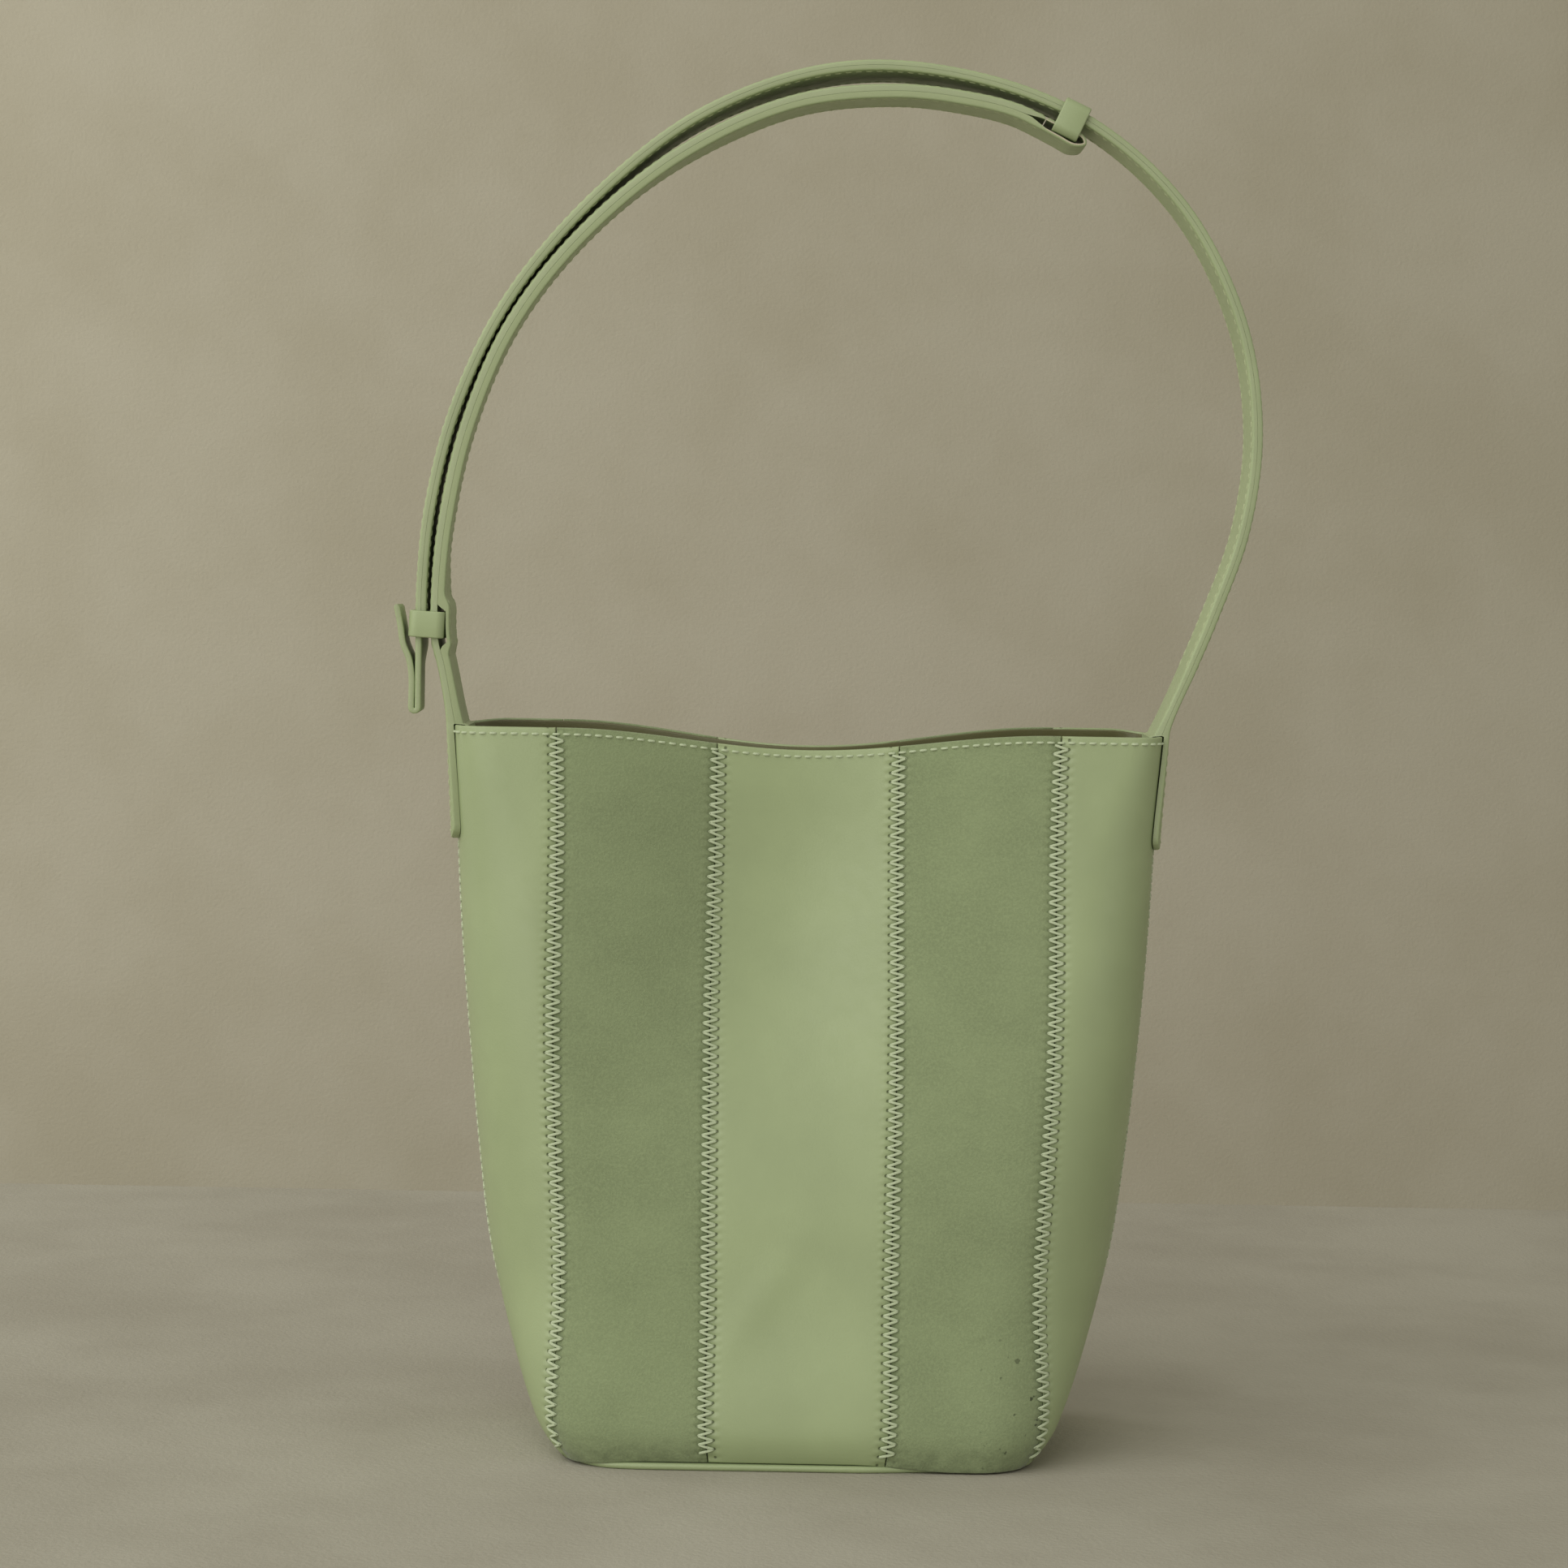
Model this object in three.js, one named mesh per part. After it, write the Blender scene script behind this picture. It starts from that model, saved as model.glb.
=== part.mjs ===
// Bucket bag of striped smooth leather and suede, with a two-part adjustable shoulder strap.
// Millimetres, +Z up, +X to the wearer's right of the front, -Y is the front.
// The origin is the centre of the underside of the base.
import * as THREE from 'three';

// ---- driving dimensions -------------------------------------------------------------------

const BAG_HEIGHT = 221;          // floor to the rim at the side seams
const RIM_DIP = 6.3;             // how far the rim sinks at the closed middle of the mouth
const RIM_DIP_REACH = 75;        // half the width over which it sinks
const SEAM_GAP = 0.3;            // clearance kept between pieces that are sewn together
const LEATHER = 1.8;             // outer leather
const LINING = 0.8;              // lining cloth
const FACING = 1.2;              // leather facing inside the rim
const BASE_THICKNESS = 2.1;      // base leather
const BOARD_THICKNESS = 1.8;     // stiffener board
const STRAP_WIDTH = 25;
const LONG_STRAP_THICKNESS = 3.1;
const SHORT_STRAP_THICKNESS = 4.2;
const SHORT_STRAP_PLY = 1.35;
const PLY_GAP = 0.3;
const LOOP_PLY = 1.2;            // the single ply that folds back round the upper keeper
const TAB_THICKNESS = 2.3;
const TAB_INNER_THICKNESS = 1.2;
const TAB_GAP = 0.4;             // between the wall and the tab's outer ply
const TAB_INNER_GAP = 0.9;       // between the facing and its inner ply, which turns a tighter corner
const TAB_BOTTOM = 186;          // lower end of the tab's outer ply
const TAB_INNER_BOTTOM = 203;    // lower end of its inner ply
const NECK_TOP = 240;            // where the flexible neck ends and the strap begins
const NECK_GAP = 0.9;
const KEEPER_WALL = 1.2;
const KEEPER_SIDE_GAP = 0.5;
const KEEPER_CORNER = 2;
const SNAP_HEIGHT = 205;
const SNAP_RADIUS = 7;
const SNAP_HALF_THICKNESS = 1.6;
const SNAP_GAP = 0.3;
const SNAP_SIDES = 20;

const WALL_ROWS = 12;            // rows of facets up the wall, finer towards the base
const ROW_SPREAD = 1.25;         // above 1 crowds the rows towards the base
const WALL_BOTTOM = BASE_THICKNESS + SEAM_GAP;

// ---- the wall's outer surface -------------------------------------------------------------

// A smooth curve through a few [height, value] points.
function profile(points) {
  const knots = points.map(([height, value]) => new THREE.Vector3(height, value, 0));
  const curve = new THREE.CatmullRomCurve3(knots, false, 'centripetal');
  const samples = curve.getPoints(points.length * 24);
  return (height) => {
    const last = samples.length - 1;
    let i = 1;
    while (i < last && samples[i].x < height) i += 1;
    const share = (height - samples[i - 1].x) / (samples[i].x - samples[i - 1].x);
    return THREE.MathUtils.lerp(samples[i - 1].y, samples[i].y, share);
  };
}

const halfWidth = profile([[0, 72], [14, 80.5], [50, 93], [90, 99.5], [140, 104.5], [222, 108.3]]);
const halfDepth = profile([[0, 50.5], [14, 50], [50, 42], [90, 36], [140, 30.5], [222, 20.5]]);
const cornerRadius = profile([[0, 19], [14, 24], [50, 36], [90, 33], [140, 27], [186, 20], [222, 8.5]]);
// How far along a quarter of the girth the seams on either side of a suede stripe lie.
const outerSeamShare = profile([[0, 0.66], [14, 0.635], [50, 0.612], [120, 0.616], [222, 0.614]]);
const centreSeamShare = profile([[0, 0.23], [140, 0.23], [222, 0.222]]);

// The mouth is pinched shut in the middle, and the pinch fades out down the wall.
const PINCH = 0.735;
const PINCH_REACH = 82;
const PINCH_START = 70;
const PINCH_FULL = 202;

function pinchAt(x, height) {
  if (Math.abs(x) >= PINCH_REACH) return 1;
  const strength = PINCH * THREE.MathUtils.smoothstep(height, PINCH_START, PINCH_FULL);
  return 1 - strength * Math.cos((Math.PI * x) / (2 * PINCH_REACH)) ** 2;
}

// One point of the plan curve. quarter is 0 at the front centre, 1 at the right side seam,
// 2 at the back centre and 3 at the left side seam.
function planPoint(quarter, height) {
  const a = halfWidth(height);
  const b = halfDepth(height);
  const r = Math.min(cornerRadius(height), b - 1);
  const turn = ((quarter % 4) + 4) % 4;
  const fromBack = turn > 1 && turn < 3;
  const signX = turn > 2 ? -1 : 1;
  const share = Math.abs(fromBack ? turn - 2 : turn > 2 ? turn - 4 : turn);
  const flat = a - r;
  const arc = (Math.PI / 2) * r;
  const length = share * (flat + arc + b - r);
  let x = length;
  let y = b;
  if (length > flat + arc) {
    x = a;
    y = b - r - (length - flat - arc);
  } else if (length > flat) {
    const angle = (length - flat) / r;
    x = flat + r * Math.sin(angle);
    y = b - r + r * Math.cos(angle);
  }
  return new THREE.Vector2(signX * x, (fromBack ? 1 : -1) * y * pinchAt(x, height));
}

function quarterLength(height) {
  const a = halfWidth(height);
  const b = halfDepth(height);
  const r = Math.min(cornerRadius(height), b - 1);
  return a + b - 2 * r + (Math.PI / 2) * r;
}

function rimHeight(x) {
  if (Math.abs(x) >= RIM_DIP_REACH) return BAG_HEIGHT;
  return BAG_HEIGHT - RIM_DIP * Math.cos((Math.PI * x) / (2 * RIM_DIP_REACH)) ** 2;
}

function surfacePoint(quarter, rise) {
  const nominal = WALL_BOTTOM + (BAG_HEIGHT - WALL_BOTTOM) * rise;
  const plan = planPoint(quarter, nominal);
  const height = WALL_BOTTOM + (rimHeight(plan.x) - WALL_BOTTOM) * rise;
  return new THREE.Vector3(plan.x, plan.y, height);
}

// A point below the outer surface: depth counts inwards, so a negative depth stands proud.
function wallPoint(quarter, rise, depth) {
  const step = 0.01;
  const along = surfacePoint(quarter + step, rise).sub(surfacePoint(quarter - step, rise));
  const low = Math.max(0, rise - step);
  const high = Math.min(1, rise + step);
  const up = surfacePoint(quarter, high).sub(surfacePoint(quarter, low));
  const outward = along.cross(up).setZ(0).normalize();
  return surfacePoint(quarter, rise).addScaledVector(outward, -depth);
}

const rowRise = (row) => (row / WALL_ROWS) ** ROW_SPREAD;
const riseAt = (height) => (height - WALL_BOTTOM) / (BAG_HEIGHT - WALL_BOTTOM);

// ---- building helpers ---------------------------------------------------------------------

const bag = new THREE.Group();

const materials = {
  smooth: { color: 0x98a479, roughness: 0.45, metalness: 0 },
  suede: { color: 0x838f6a, roughness: 0.95, metalness: 0 },
  lining: { color: 0x6d7450, roughness: 0.9, metalness: 0 },
  board: { color: 0xb9a98a, roughness: 0.9, metalness: 0 },
  filler: { color: 0x8c8b6c, roughness: 0.9, metalness: 0 },
  metal: { color: 0xc8c8c4, roughness: 0.3, metalness: 1 },
};

function add(name, slot, geometry) {
  const mesh = new THREE.Mesh(geometry, new THREE.MeshStandardMaterial(materials[slot]));
  mesh.name = name;
  bag.add(mesh);
  return mesh;
}

// A box's last side cuts its quads along the other diagonal than the side facing it. Cutting both
// the same way lets bent blocks nest in each other without touching.
function matchDiagonals(block) {
  const corners = block.index;
  const { start, count } = block.groups[5];
  for (let i = start; i < start + count; i += 6) {
    const [a, b, d, , c] = Array.from({ length: 6 }, (_, k) => corners.getX(i + k));
    [a, b, c, a, c, d].forEach((corner, k) => corners.setX(i + k, corner));
  }
}

// A block with facets along, across and through it, each corner moved by place(u, v, w).
function bentBlock(columns, rows, place) {
  const block = new THREE.BoxGeometry(1, 1, 1, columns, rows, 1);
  const corners = block.attributes.position;
  for (let i = 0; i < corners.count; i += 1) {
    const point = place(corners.getX(i) + 0.5, corners.getY(i) + 0.5, corners.getZ(i) + 0.5);
    corners.setXYZ(i, point.x, point.y, point.z);
  }
  matchDiagonals(block);
  block.computeVertexNormals();
  return block;
}

// ---- wall, lining and facing --------------------------------------------------------------

// The seams between stripes, as functions of height that give the quarter each one lies at.
const seams = [
  () => -1,
  (height) => -outerSeamShare(height),
  (height) => -centreSeamShare(height),
  (height) => centreSeamShare(height),
  (height) => outerSeamShare(height),
  () => 1,
];
const stripeColumns = [7, 5, 6, 5, 7];
const firstColumnOf = stripeColumns.map((_, i) => stripeColumns.slice(0, i).reduce((a, b) => a + b, 0));
const ALL_COLUMNS = stripeColumns.reduce((a, b) => a + b, 0);

// The wall's facets stand in columns that keep to the stripes, so every layer has the same ones.
function columnQuarter(column, height) {
  let stripe = stripeColumns.length - 1;
  while (column < firstColumnOf[stripe]) stripe -= 1;
  const share = (column - firstColumnOf[stripe]) / stripeColumns[stripe];
  return THREE.MathUtils.lerp(seams[stripe](height), seams[stripe + 1](height), share);
}

// A layer of the wall between two columns and two rows. depth counts inwards to its outer face.
function wallLayer({ turn, firstColumn, lastColumn, firstRow, lastRow, depth, thickness }) {
  const columns = lastColumn - firstColumn;
  const rows = lastRow - firstRow;
  return bentBlock(columns, rows, (u, v, w) => {
    const rise = rowRise(firstRow + v * rows);
    const height = WALL_BOTTOM + (BAG_HEIGHT - WALL_BOTTOM) * rise;
    const trim = SEAM_GAP / 2 / quarterLength(height);
    let quarter = turn + columnQuarter(Math.round(firstColumn + u * columns), height);
    if (u === 0) quarter += trim;
    if (u === 1) quarter -= trim;
    const point = wallPoint(quarter, rise, depth + (1 - w) * thickness);
    if (v === 0 && firstRow > 0) point.z += SEAM_GAP / 2;
    if (v === 1 && lastRow < WALL_ROWS) point.z -= SEAM_GAP / 2;
    return point;
  });
}

const stripeSlots = ['smooth', 'suede', 'smooth', 'suede', 'smooth'];
const stripeNames = {
  front: ['left_smooth', 'left_suede', 'centre_smooth', 'right_suede', 'right_smooth'],
  back: ['right_smooth', 'right_suede', 'centre_smooth', 'left_suede', 'left_smooth'],
};
const FRONT_TURN = 0;
const BACK_TURN = 2;
const INNER_DEPTH = LEATHER + 2 * SEAM_GAP;

function addStripes(side, turn) {
  stripeNames[side].forEach((stripe, i) => {
    add(`${side}_${stripe}_panel`, stripeSlots[i], wallLayer({
      turn,
      firstColumn: firstColumnOf[i],
      lastColumn: firstColumnOf[i] + stripeColumns[i],
      firstRow: 0,
      lastRow: WALL_ROWS,
      depth: 0,
      thickness: LEATHER,
    }));
  });
}

function addInnerLayer(name, slot, turn, firstRow, lastRow, thickness) {
  add(name, slot, wallLayer({
    turn, firstColumn: 0, lastColumn: ALL_COLUMNS, firstRow, lastRow, depth: INNER_DEPTH, thickness,
  }));
}

addStripes('front', FRONT_TURN);
addStripes('back', BACK_TURN);
addInnerLayer('lining_front', 'lining', FRONT_TURN, 1, WALL_ROWS - 1, LINING);
addInnerLayer('lining_back', 'lining', BACK_TURN, 1, WALL_ROWS - 1, LINING);
addInnerLayer('rim_facing_front', 'smooth', FRONT_TURN, WALL_ROWS - 1, WALL_ROWS, FACING);
addInnerLayer('rim_facing_back', 'smooth', BACK_TURN, WALL_ROWS - 1, WALL_ROWS, FACING);

// ---- base ---------------------------------------------------------------------------------

function roundedRectangle(width, depth, radius) {
  const x = width / 2 - radius;
  const y = depth / 2 - radius;
  const shape = new THREE.Shape();
  shape.absarc(x, y, radius, 0, Math.PI / 2);
  shape.absarc(-x, y, radius, Math.PI / 2, Math.PI);
  shape.absarc(-x, -y, radius, Math.PI, 1.5 * Math.PI);
  shape.absarc(x, -y, radius, 1.5 * Math.PI, 2 * Math.PI);
  shape.closePath();
  return shape;
}

function slab(inset, thickness, bottom) {
  const outline = roundedRectangle(
    2 * (halfWidth(WALL_BOTTOM) - inset),
    2 * (halfDepth(WALL_BOTTOM) - inset),
    cornerRadius(WALL_BOTTOM) - inset,
  );
  const geometry = new THREE.ExtrudeGeometry(outline, { depth: thickness, bevelEnabled: false, curveSegments: 6 });
  return geometry.translate(0, 0, bottom);
}

const BASE_INSET = 0.6;                    // the base stays a little inside the wall's foot
const BOARD_INSET = LEATHER + 2 * SEAM_GAP;
const LINING_BASE_BOTTOM = WALL_BOTTOM + BOARD_THICKNESS + SEAM_GAP;
add('base_panel', 'smooth', slab(BASE_INSET, BASE_THICKNESS, 0));
add('base_board', 'board', slab(BOARD_INSET, BOARD_THICKNESS, WALL_BOTTOM));
add('lining_base', 'lining', slab(BOARD_INSET, LINING, LINING_BASE_BOTTOM));

// ---- strap tabs ---------------------------------------------------------------------------

// Each tab has two plies that straddle the rim at a side seam and close up into the strap's
// flexible neck above it.
const NECK_TOP_X = { left: -111.9, right: 115.9 };
const TAB_COLUMNS = 6;
const TAB_WALL_ROWS = 3;
const TAB_NECK_ROWS = 5;

function tabPly({ side, depth, thickness, bottom, neckOffset, neckThickness }) {
  const quarterCentre = side === 'left' ? 3 : 1;
  const signX = side === 'left' ? -1 : 1;
  const halfReach = STRAP_WIDTH / 2 / quarterLength(BAG_HEIGHT);
  const bottomRise = riseAt(bottom);
  return bentBlock(TAB_COLUMNS, TAB_WALL_ROWS + TAB_NECK_ROWS, (u, v, w) => {
    const row = v * (TAB_WALL_ROWS + TAB_NECK_ROWS);
    const across = (u - 0.5) * 2;
    const rise = THREE.MathUtils.lerp(bottomRise, 1, Math.min(1, row / TAB_WALL_ROWS));
    const point = wallPoint(quarterCentre + across * halfReach, rise, depth + (1 - w) * thickness);
    if (row <= TAB_WALL_ROWS) return point;
    const top = new THREE.Vector3(
      NECK_TOP_X[side] + signX * (neckOffset - (0.5 - w) * neckThickness),
      signX * across * (STRAP_WIDTH / 2),
      NECK_TOP,
    );
    return point.lerp(top, (row - TAB_WALL_ROWS) / TAB_NECK_ROWS);
  });
}

for (const side of ['left', 'right']) {
  const half = (side === 'left' ? SHORT_STRAP_THICKNESS : LONG_STRAP_THICKNESS) / 2;
  const neckThickness = half - PLY_GAP / 2;
  const neckOffset = (half + PLY_GAP / 2) / 2;
  add(`${side}_tab_outer`, 'smooth', tabPly({
    side,
    depth: -TAB_GAP - TAB_THICKNESS,
    thickness: TAB_THICKNESS,
    bottom: TAB_BOTTOM,
    neckOffset,
    neckThickness,
  }));
  add(`${side}_tab_inner`, 'smooth', tabPly({
    side,
    depth: INNER_DEPTH + FACING + TAB_INNER_GAP,
    thickness: TAB_INNER_THICKNESS,
    bottom: TAB_INNER_BOTTOM,
    neckOffset: -neckOffset,
    neckThickness,
  }));
}

// ---- strap --------------------------------------------------------------------------------

// Both straps are drawn from left to right as a route in the XZ plane. A station holds a point,
// the travel direction and the outward side, which is on the left of the direction.
function stationsAlong(curve, steps) {
  const stations = [];
  for (let i = 0; i <= steps; i += 1) {
    stations.push({ point: curve.getPointAt(i / steps), tangent: curve.getTangentAt(i / steps) });
  }
  return stations;
}

function curveThrough(points) {
  const knots = points.map(([x, z]) => new THREE.Vector3(x, 0, z));
  return new THREE.CatmullRomCurve3(knots, false, 'centripetal');
}

const outwardOf = (tangent) => new THREE.Vector3(-tangent.z, 0, tangent.x);

// The same stations moved outwards, each by offsetAt(point).
function offsetStations(stations, offsetAt) {
  return stations.map(({ point, tangent }) => (
    { point: point.clone().addScaledVector(outwardOf(tangent), offsetAt(point)), tangent }
  ));
}

// A flat ply whose middle follows the stations.
function strapPly(stations, thickness, width = STRAP_WIDTH) {
  const last = stations.length - 1;
  return bentBlock(last, 1, (u, v, w) => {
    const { point, tangent } = stations[Math.round(u * last)];
    return point.clone().addScaledVector(outwardOf(tangent), (w - 0.5) * thickness).setY((v - 0.5) * width);
  });
}

const STRAP_BOTTOM = NECK_TOP + NECK_GAP;
const LONG_PLY = (LONG_STRAP_THICKNESS - PLY_GAP) / 2;
const longPlyOffset = (LONG_PLY + PLY_GAP) / 2;

// Below the lower keeper only the long strap's outer ply goes on. It folds back up outside the
// keeper as a stop.
const LONG_STRAP_X = -119;
const INNER_PLY_END = 249.5;
const TAIL_BOTTOM = 226;
const TAIL_FOLD_RADIUS = 1.1;
const TAIL_X = LONG_STRAP_X - longPlyOffset;
const TAIL_OUTSIDE_X = TAIL_X - 2 * TAIL_FOLD_RADIUS;
const tailRise = curveThrough([
  [-126.4, 257.5], [-125.1, 253], [-124.6, 247], [-122.9, 238], [TAIL_OUTSIDE_X, 231],
  [TAIL_OUTSIDE_X, TAIL_BOTTOM],
]);
const tailDrop = curveThrough([[TAIL_X, TAIL_BOTTOM], [TAIL_X, INNER_PLY_END - 1]]);
const longArch = curveThrough([
  [LONG_STRAP_X, INNER_PLY_END], [LONG_STRAP_X, 262], [-117, 286], [-109.6, 317], [-94.3, 349.9],
  [-67.9, 382.2], [-35.2, 408.2], [3.9, 422.2], [42.5, 421.1], [80.2, 408.3], [110, 383.5],
  [128.7, 349.7], [135, 316], [132, 285], [123, 258], [116.2, STRAP_BOTTOM],
]);

function tailFold(steps) {
  const stations = [];
  for (let i = 1; i < steps; i += 1) {
    const angle = Math.PI * (1 + i / steps);
    const direction = new THREE.Vector3(Math.cos(angle), 0, Math.sin(angle));
    stations.push({
      point: new THREE.Vector3(TAIL_X - TAIL_FOLD_RADIUS, 0, TAIL_BOTTOM)
        .addScaledVector(direction, TAIL_FOLD_RADIUS),
      tangent: new THREE.Vector3(-direction.z, 0, direction.x),
    });
  }
  return stations;
}

const longStations = stationsAlong(longArch, 56);
const tailStations = [...stationsAlong(tailRise, 8), ...tailFold(6), ...stationsAlong(tailDrop, 2)];
add('long_strap_outer_ply', 'smooth',
  strapPly([...tailStations, ...offsetStations(longStations, () => longPlyOffset)], LONG_PLY));
add('long_strap_inner_ply', 'smooth',
  strapPly(offsetStations(longStations, () => -longPlyOffset), LONG_PLY));

// The short strap's inner ply bows out round the lower keeper, and beyond the strap's end it
// folds back in a closed loop round the upper keeper.
const shortArch = curveThrough([
  [-112.2, STRAP_BOTTOM], [-113.75, 247], [-113.9, 262], [-112, 283], [-106, 311], [-93, 342.5],
  [-71.9, 370.4], [-41.9, 395.7], [-8, 411.7], [23.8, 415.6], [47.8, 413.2], [59.8, 410.3], [68, 406.7],
]);
const shortStations = stationsAlong(shortArch, 48);
const shortPlyOffset = (SHORT_STRAP_THICKNESS - SHORT_STRAP_PLY) / 2;
const FILLER_THICKNESS = SHORT_STRAP_THICKNESS - 2 * (SHORT_STRAP_PLY + PLY_GAP);
const FILLER_WIDTH = STRAP_WIDTH - 3;
const BOW_DEPTH = 1.75;
const BOW_FROM = 243.5;
const BOW_TO = 259;
const BOW_RAMP = 8;

function bowAt(point) {
  if (point.x > 0) return 0;
  const rising = THREE.MathUtils.smoothstep(point.z, BOW_FROM - BOW_RAMP / 3, BOW_FROM);
  const falling = THREE.MathUtils.smoothstep(point.z, BOW_TO, BOW_TO + BOW_RAMP);
  return BOW_DEPTH * rising * (1 - falling);
}

// The upper keeper's own frame: its slide runs along the long strap.
const UPPER_KEEPER = { x: 76.4, z: 407.9, width: 11, length: 8, tilt: THREE.MathUtils.degToRad(25) };

function upperKeeperPoint([along, outward]) {
  const cos = Math.cos(UPPER_KEEPER.tilt);
  const sin = Math.sin(UPPER_KEEPER.tilt);
  return [UPPER_KEEPER.x + along * cos + outward * sin, UPPER_KEEPER.z - along * sin + outward * cos];
}

const endLoop = curveThrough([
  [-6, -6.3], [-1, -6.5], [4, -6.6], [6.9, -4.8], [5.4, -3.2], [1, -3.1], [-3, -3.1], [-6.8, -3.1],
].map(upperKeeperPoint));

add('short_strap_outer_ply', 'smooth',
  strapPly(offsetStations(shortStations, () => shortPlyOffset), SHORT_STRAP_PLY));
add('short_strap_filler', 'filler', strapPly(shortStations, FILLER_THICKNESS, FILLER_WIDTH));
add('short_strap_inner_ply', 'smooth', strapPly([
  ...offsetStations(shortStations.slice(0, -1), (point) => -shortPlyOffset - bowAt(point)),
  ...stationsAlong(endLoop, 22),
], LOOP_PLY));

// ---- keepers ------------------------------------------------------------------------------

// A closed leather band round the strap. Its axis is the strap's direction.
function keeperBand(width, length) {
  const depth = STRAP_WIDTH + 2 * (KEEPER_SIDE_GAP + KEEPER_WALL);
  const outline = roundedRectangle(width, depth, KEEPER_CORNER);
  const hole = roundedRectangle(
    width - 2 * KEEPER_WALL, depth - 2 * KEEPER_WALL, KEEPER_CORNER - KEEPER_WALL);
  outline.holes.push(new THREE.Path(hole.getPoints(3).reverse()));
  const band = new THREE.ExtrudeGeometry(outline, { depth: length, bevelEnabled: false, curveSegments: 3 });
  return band.translate(0, 0, -length / 2);
}

const LOWER_KEEPER = { x: LONG_STRAP_X + 1.3, z: 252, width: 11.6, length: 8.6 };
const lowerKeeper = add('keeper_lower', 'smooth', keeperBand(LOWER_KEEPER.width, LOWER_KEEPER.length));
lowerKeeper.position.set(LOWER_KEEPER.x, 0, LOWER_KEEPER.z);

const upperKeeper = add('keeper_upper', 'smooth', keeperBand(UPPER_KEEPER.width, UPPER_KEEPER.length));
upperKeeper.position.set(UPPER_KEEPER.x, 0, UPPER_KEEPER.z);
upperKeeper.rotation.y = UPPER_KEEPER.tilt + Math.PI / 2;

// ---- magnetic snap ------------------------------------------------------------------------

// Two slim halves on the facings face each other at the pinched middle of the mouth.
const SOCKET_RADIUS = 4.4;
const SOCKET_DEPTH = 0.7;
const STUD_RADIUS = 3.9;

function turned(points) {
  return new THREE.LatheGeometry(points.map(([r, h]) => new THREE.Vector2(r, h)), SNAP_SIDES);
}

// The turned halves have their axis along Y; the front one is turned over to face the back.
function addSnapHalf(name, facesBack, profilePoints) {
  const half = add(name, 'metal', turned(profilePoints));
  half.rotation.x = facesBack ? Math.PI : 0;
  half.position.set(0, 0, SNAP_HEIGHT);
}

const snapInner = SNAP_GAP / 2;
const snapOuter = snapInner + SNAP_HALF_THICKNESS;
addSnapHalf('snap_socket', false, [
  [0, snapInner + SOCKET_DEPTH], [SOCKET_RADIUS, snapInner + SOCKET_DEPTH], [SOCKET_RADIUS, snapInner],
  [SNAP_RADIUS, snapInner], [SNAP_RADIUS, snapOuter], [0, snapOuter],
]);
addSnapHalf('snap_stud', true, [
  [0, snapInner - SOCKET_DEPTH], [STUD_RADIUS, snapInner - SOCKET_DEPTH], [STUD_RADIUS, snapInner],
  [SNAP_RADIUS, snapInner], [SNAP_RADIUS, snapOuter], [0, snapOuter],
]);

export default bag;
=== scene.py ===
"""The looks of a striped leather and suede bucket bag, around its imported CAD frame.

Shapes are worked out in millimetres in the part's own frame (+Z up, -Y the front, the origin under
the middle of the base), and add_mesh() turns them into metres.
"""

import math

import bmesh
import bpy
import numpy as np
from mathutils import Matrix, Vector


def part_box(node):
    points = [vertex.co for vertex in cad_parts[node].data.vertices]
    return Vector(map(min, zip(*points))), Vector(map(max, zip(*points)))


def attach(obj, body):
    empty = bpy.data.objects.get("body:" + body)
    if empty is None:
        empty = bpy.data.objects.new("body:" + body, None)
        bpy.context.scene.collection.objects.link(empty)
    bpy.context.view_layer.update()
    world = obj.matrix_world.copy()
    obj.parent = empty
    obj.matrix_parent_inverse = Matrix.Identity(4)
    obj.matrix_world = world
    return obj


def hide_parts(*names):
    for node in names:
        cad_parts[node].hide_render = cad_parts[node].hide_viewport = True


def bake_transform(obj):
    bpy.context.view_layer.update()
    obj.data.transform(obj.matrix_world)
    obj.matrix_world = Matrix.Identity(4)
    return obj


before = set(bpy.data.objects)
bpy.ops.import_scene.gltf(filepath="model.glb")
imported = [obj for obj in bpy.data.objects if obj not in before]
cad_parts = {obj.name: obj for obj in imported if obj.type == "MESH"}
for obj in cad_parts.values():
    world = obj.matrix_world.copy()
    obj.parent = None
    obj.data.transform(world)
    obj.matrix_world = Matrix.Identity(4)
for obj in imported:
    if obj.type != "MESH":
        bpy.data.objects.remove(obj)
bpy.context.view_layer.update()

# ---- sizes, in millimetres ------------------------------------------------------------------

MM = 0.001


def node_box(name):
    """Lowest and highest corner of a CAD node, in millimetres."""
    low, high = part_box(name)
    return np.array(low) / MM, np.array(high) / MM


WALL_BOTTOM = node_box("front_left_smooth_panel")[0][2]
BAG_HEIGHT = node_box("front_left_smooth_panel")[1][2]
TAB_BOTTOM = node_box("left_tab_outer")[0][2]
TAB_INNER_BOTTOM = node_box("left_tab_inner")[0][2]
STRAP_WIDTH = 2 * node_box("long_strap_outer_ply")[1][1]
BASE_THICKNESS = node_box("base_panel")[1][2]
SNAP_HEIGHT = sum(node_box("snap_stud"))[2] / 2
SNAP_RADIUS = np.ptp(node_box("snap_stud"), axis=0)[0] / 2
LOWER_KEEPER = sum(node_box("keeper_lower")) / 2 + np.array([0.4, 0, -0.45])
KEEPER_DEPTH = np.ptp(node_box("keeper_lower"), axis=0)[1]
UPPER_KEEPER = sum(node_box("keeper_upper")) / 2

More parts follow.
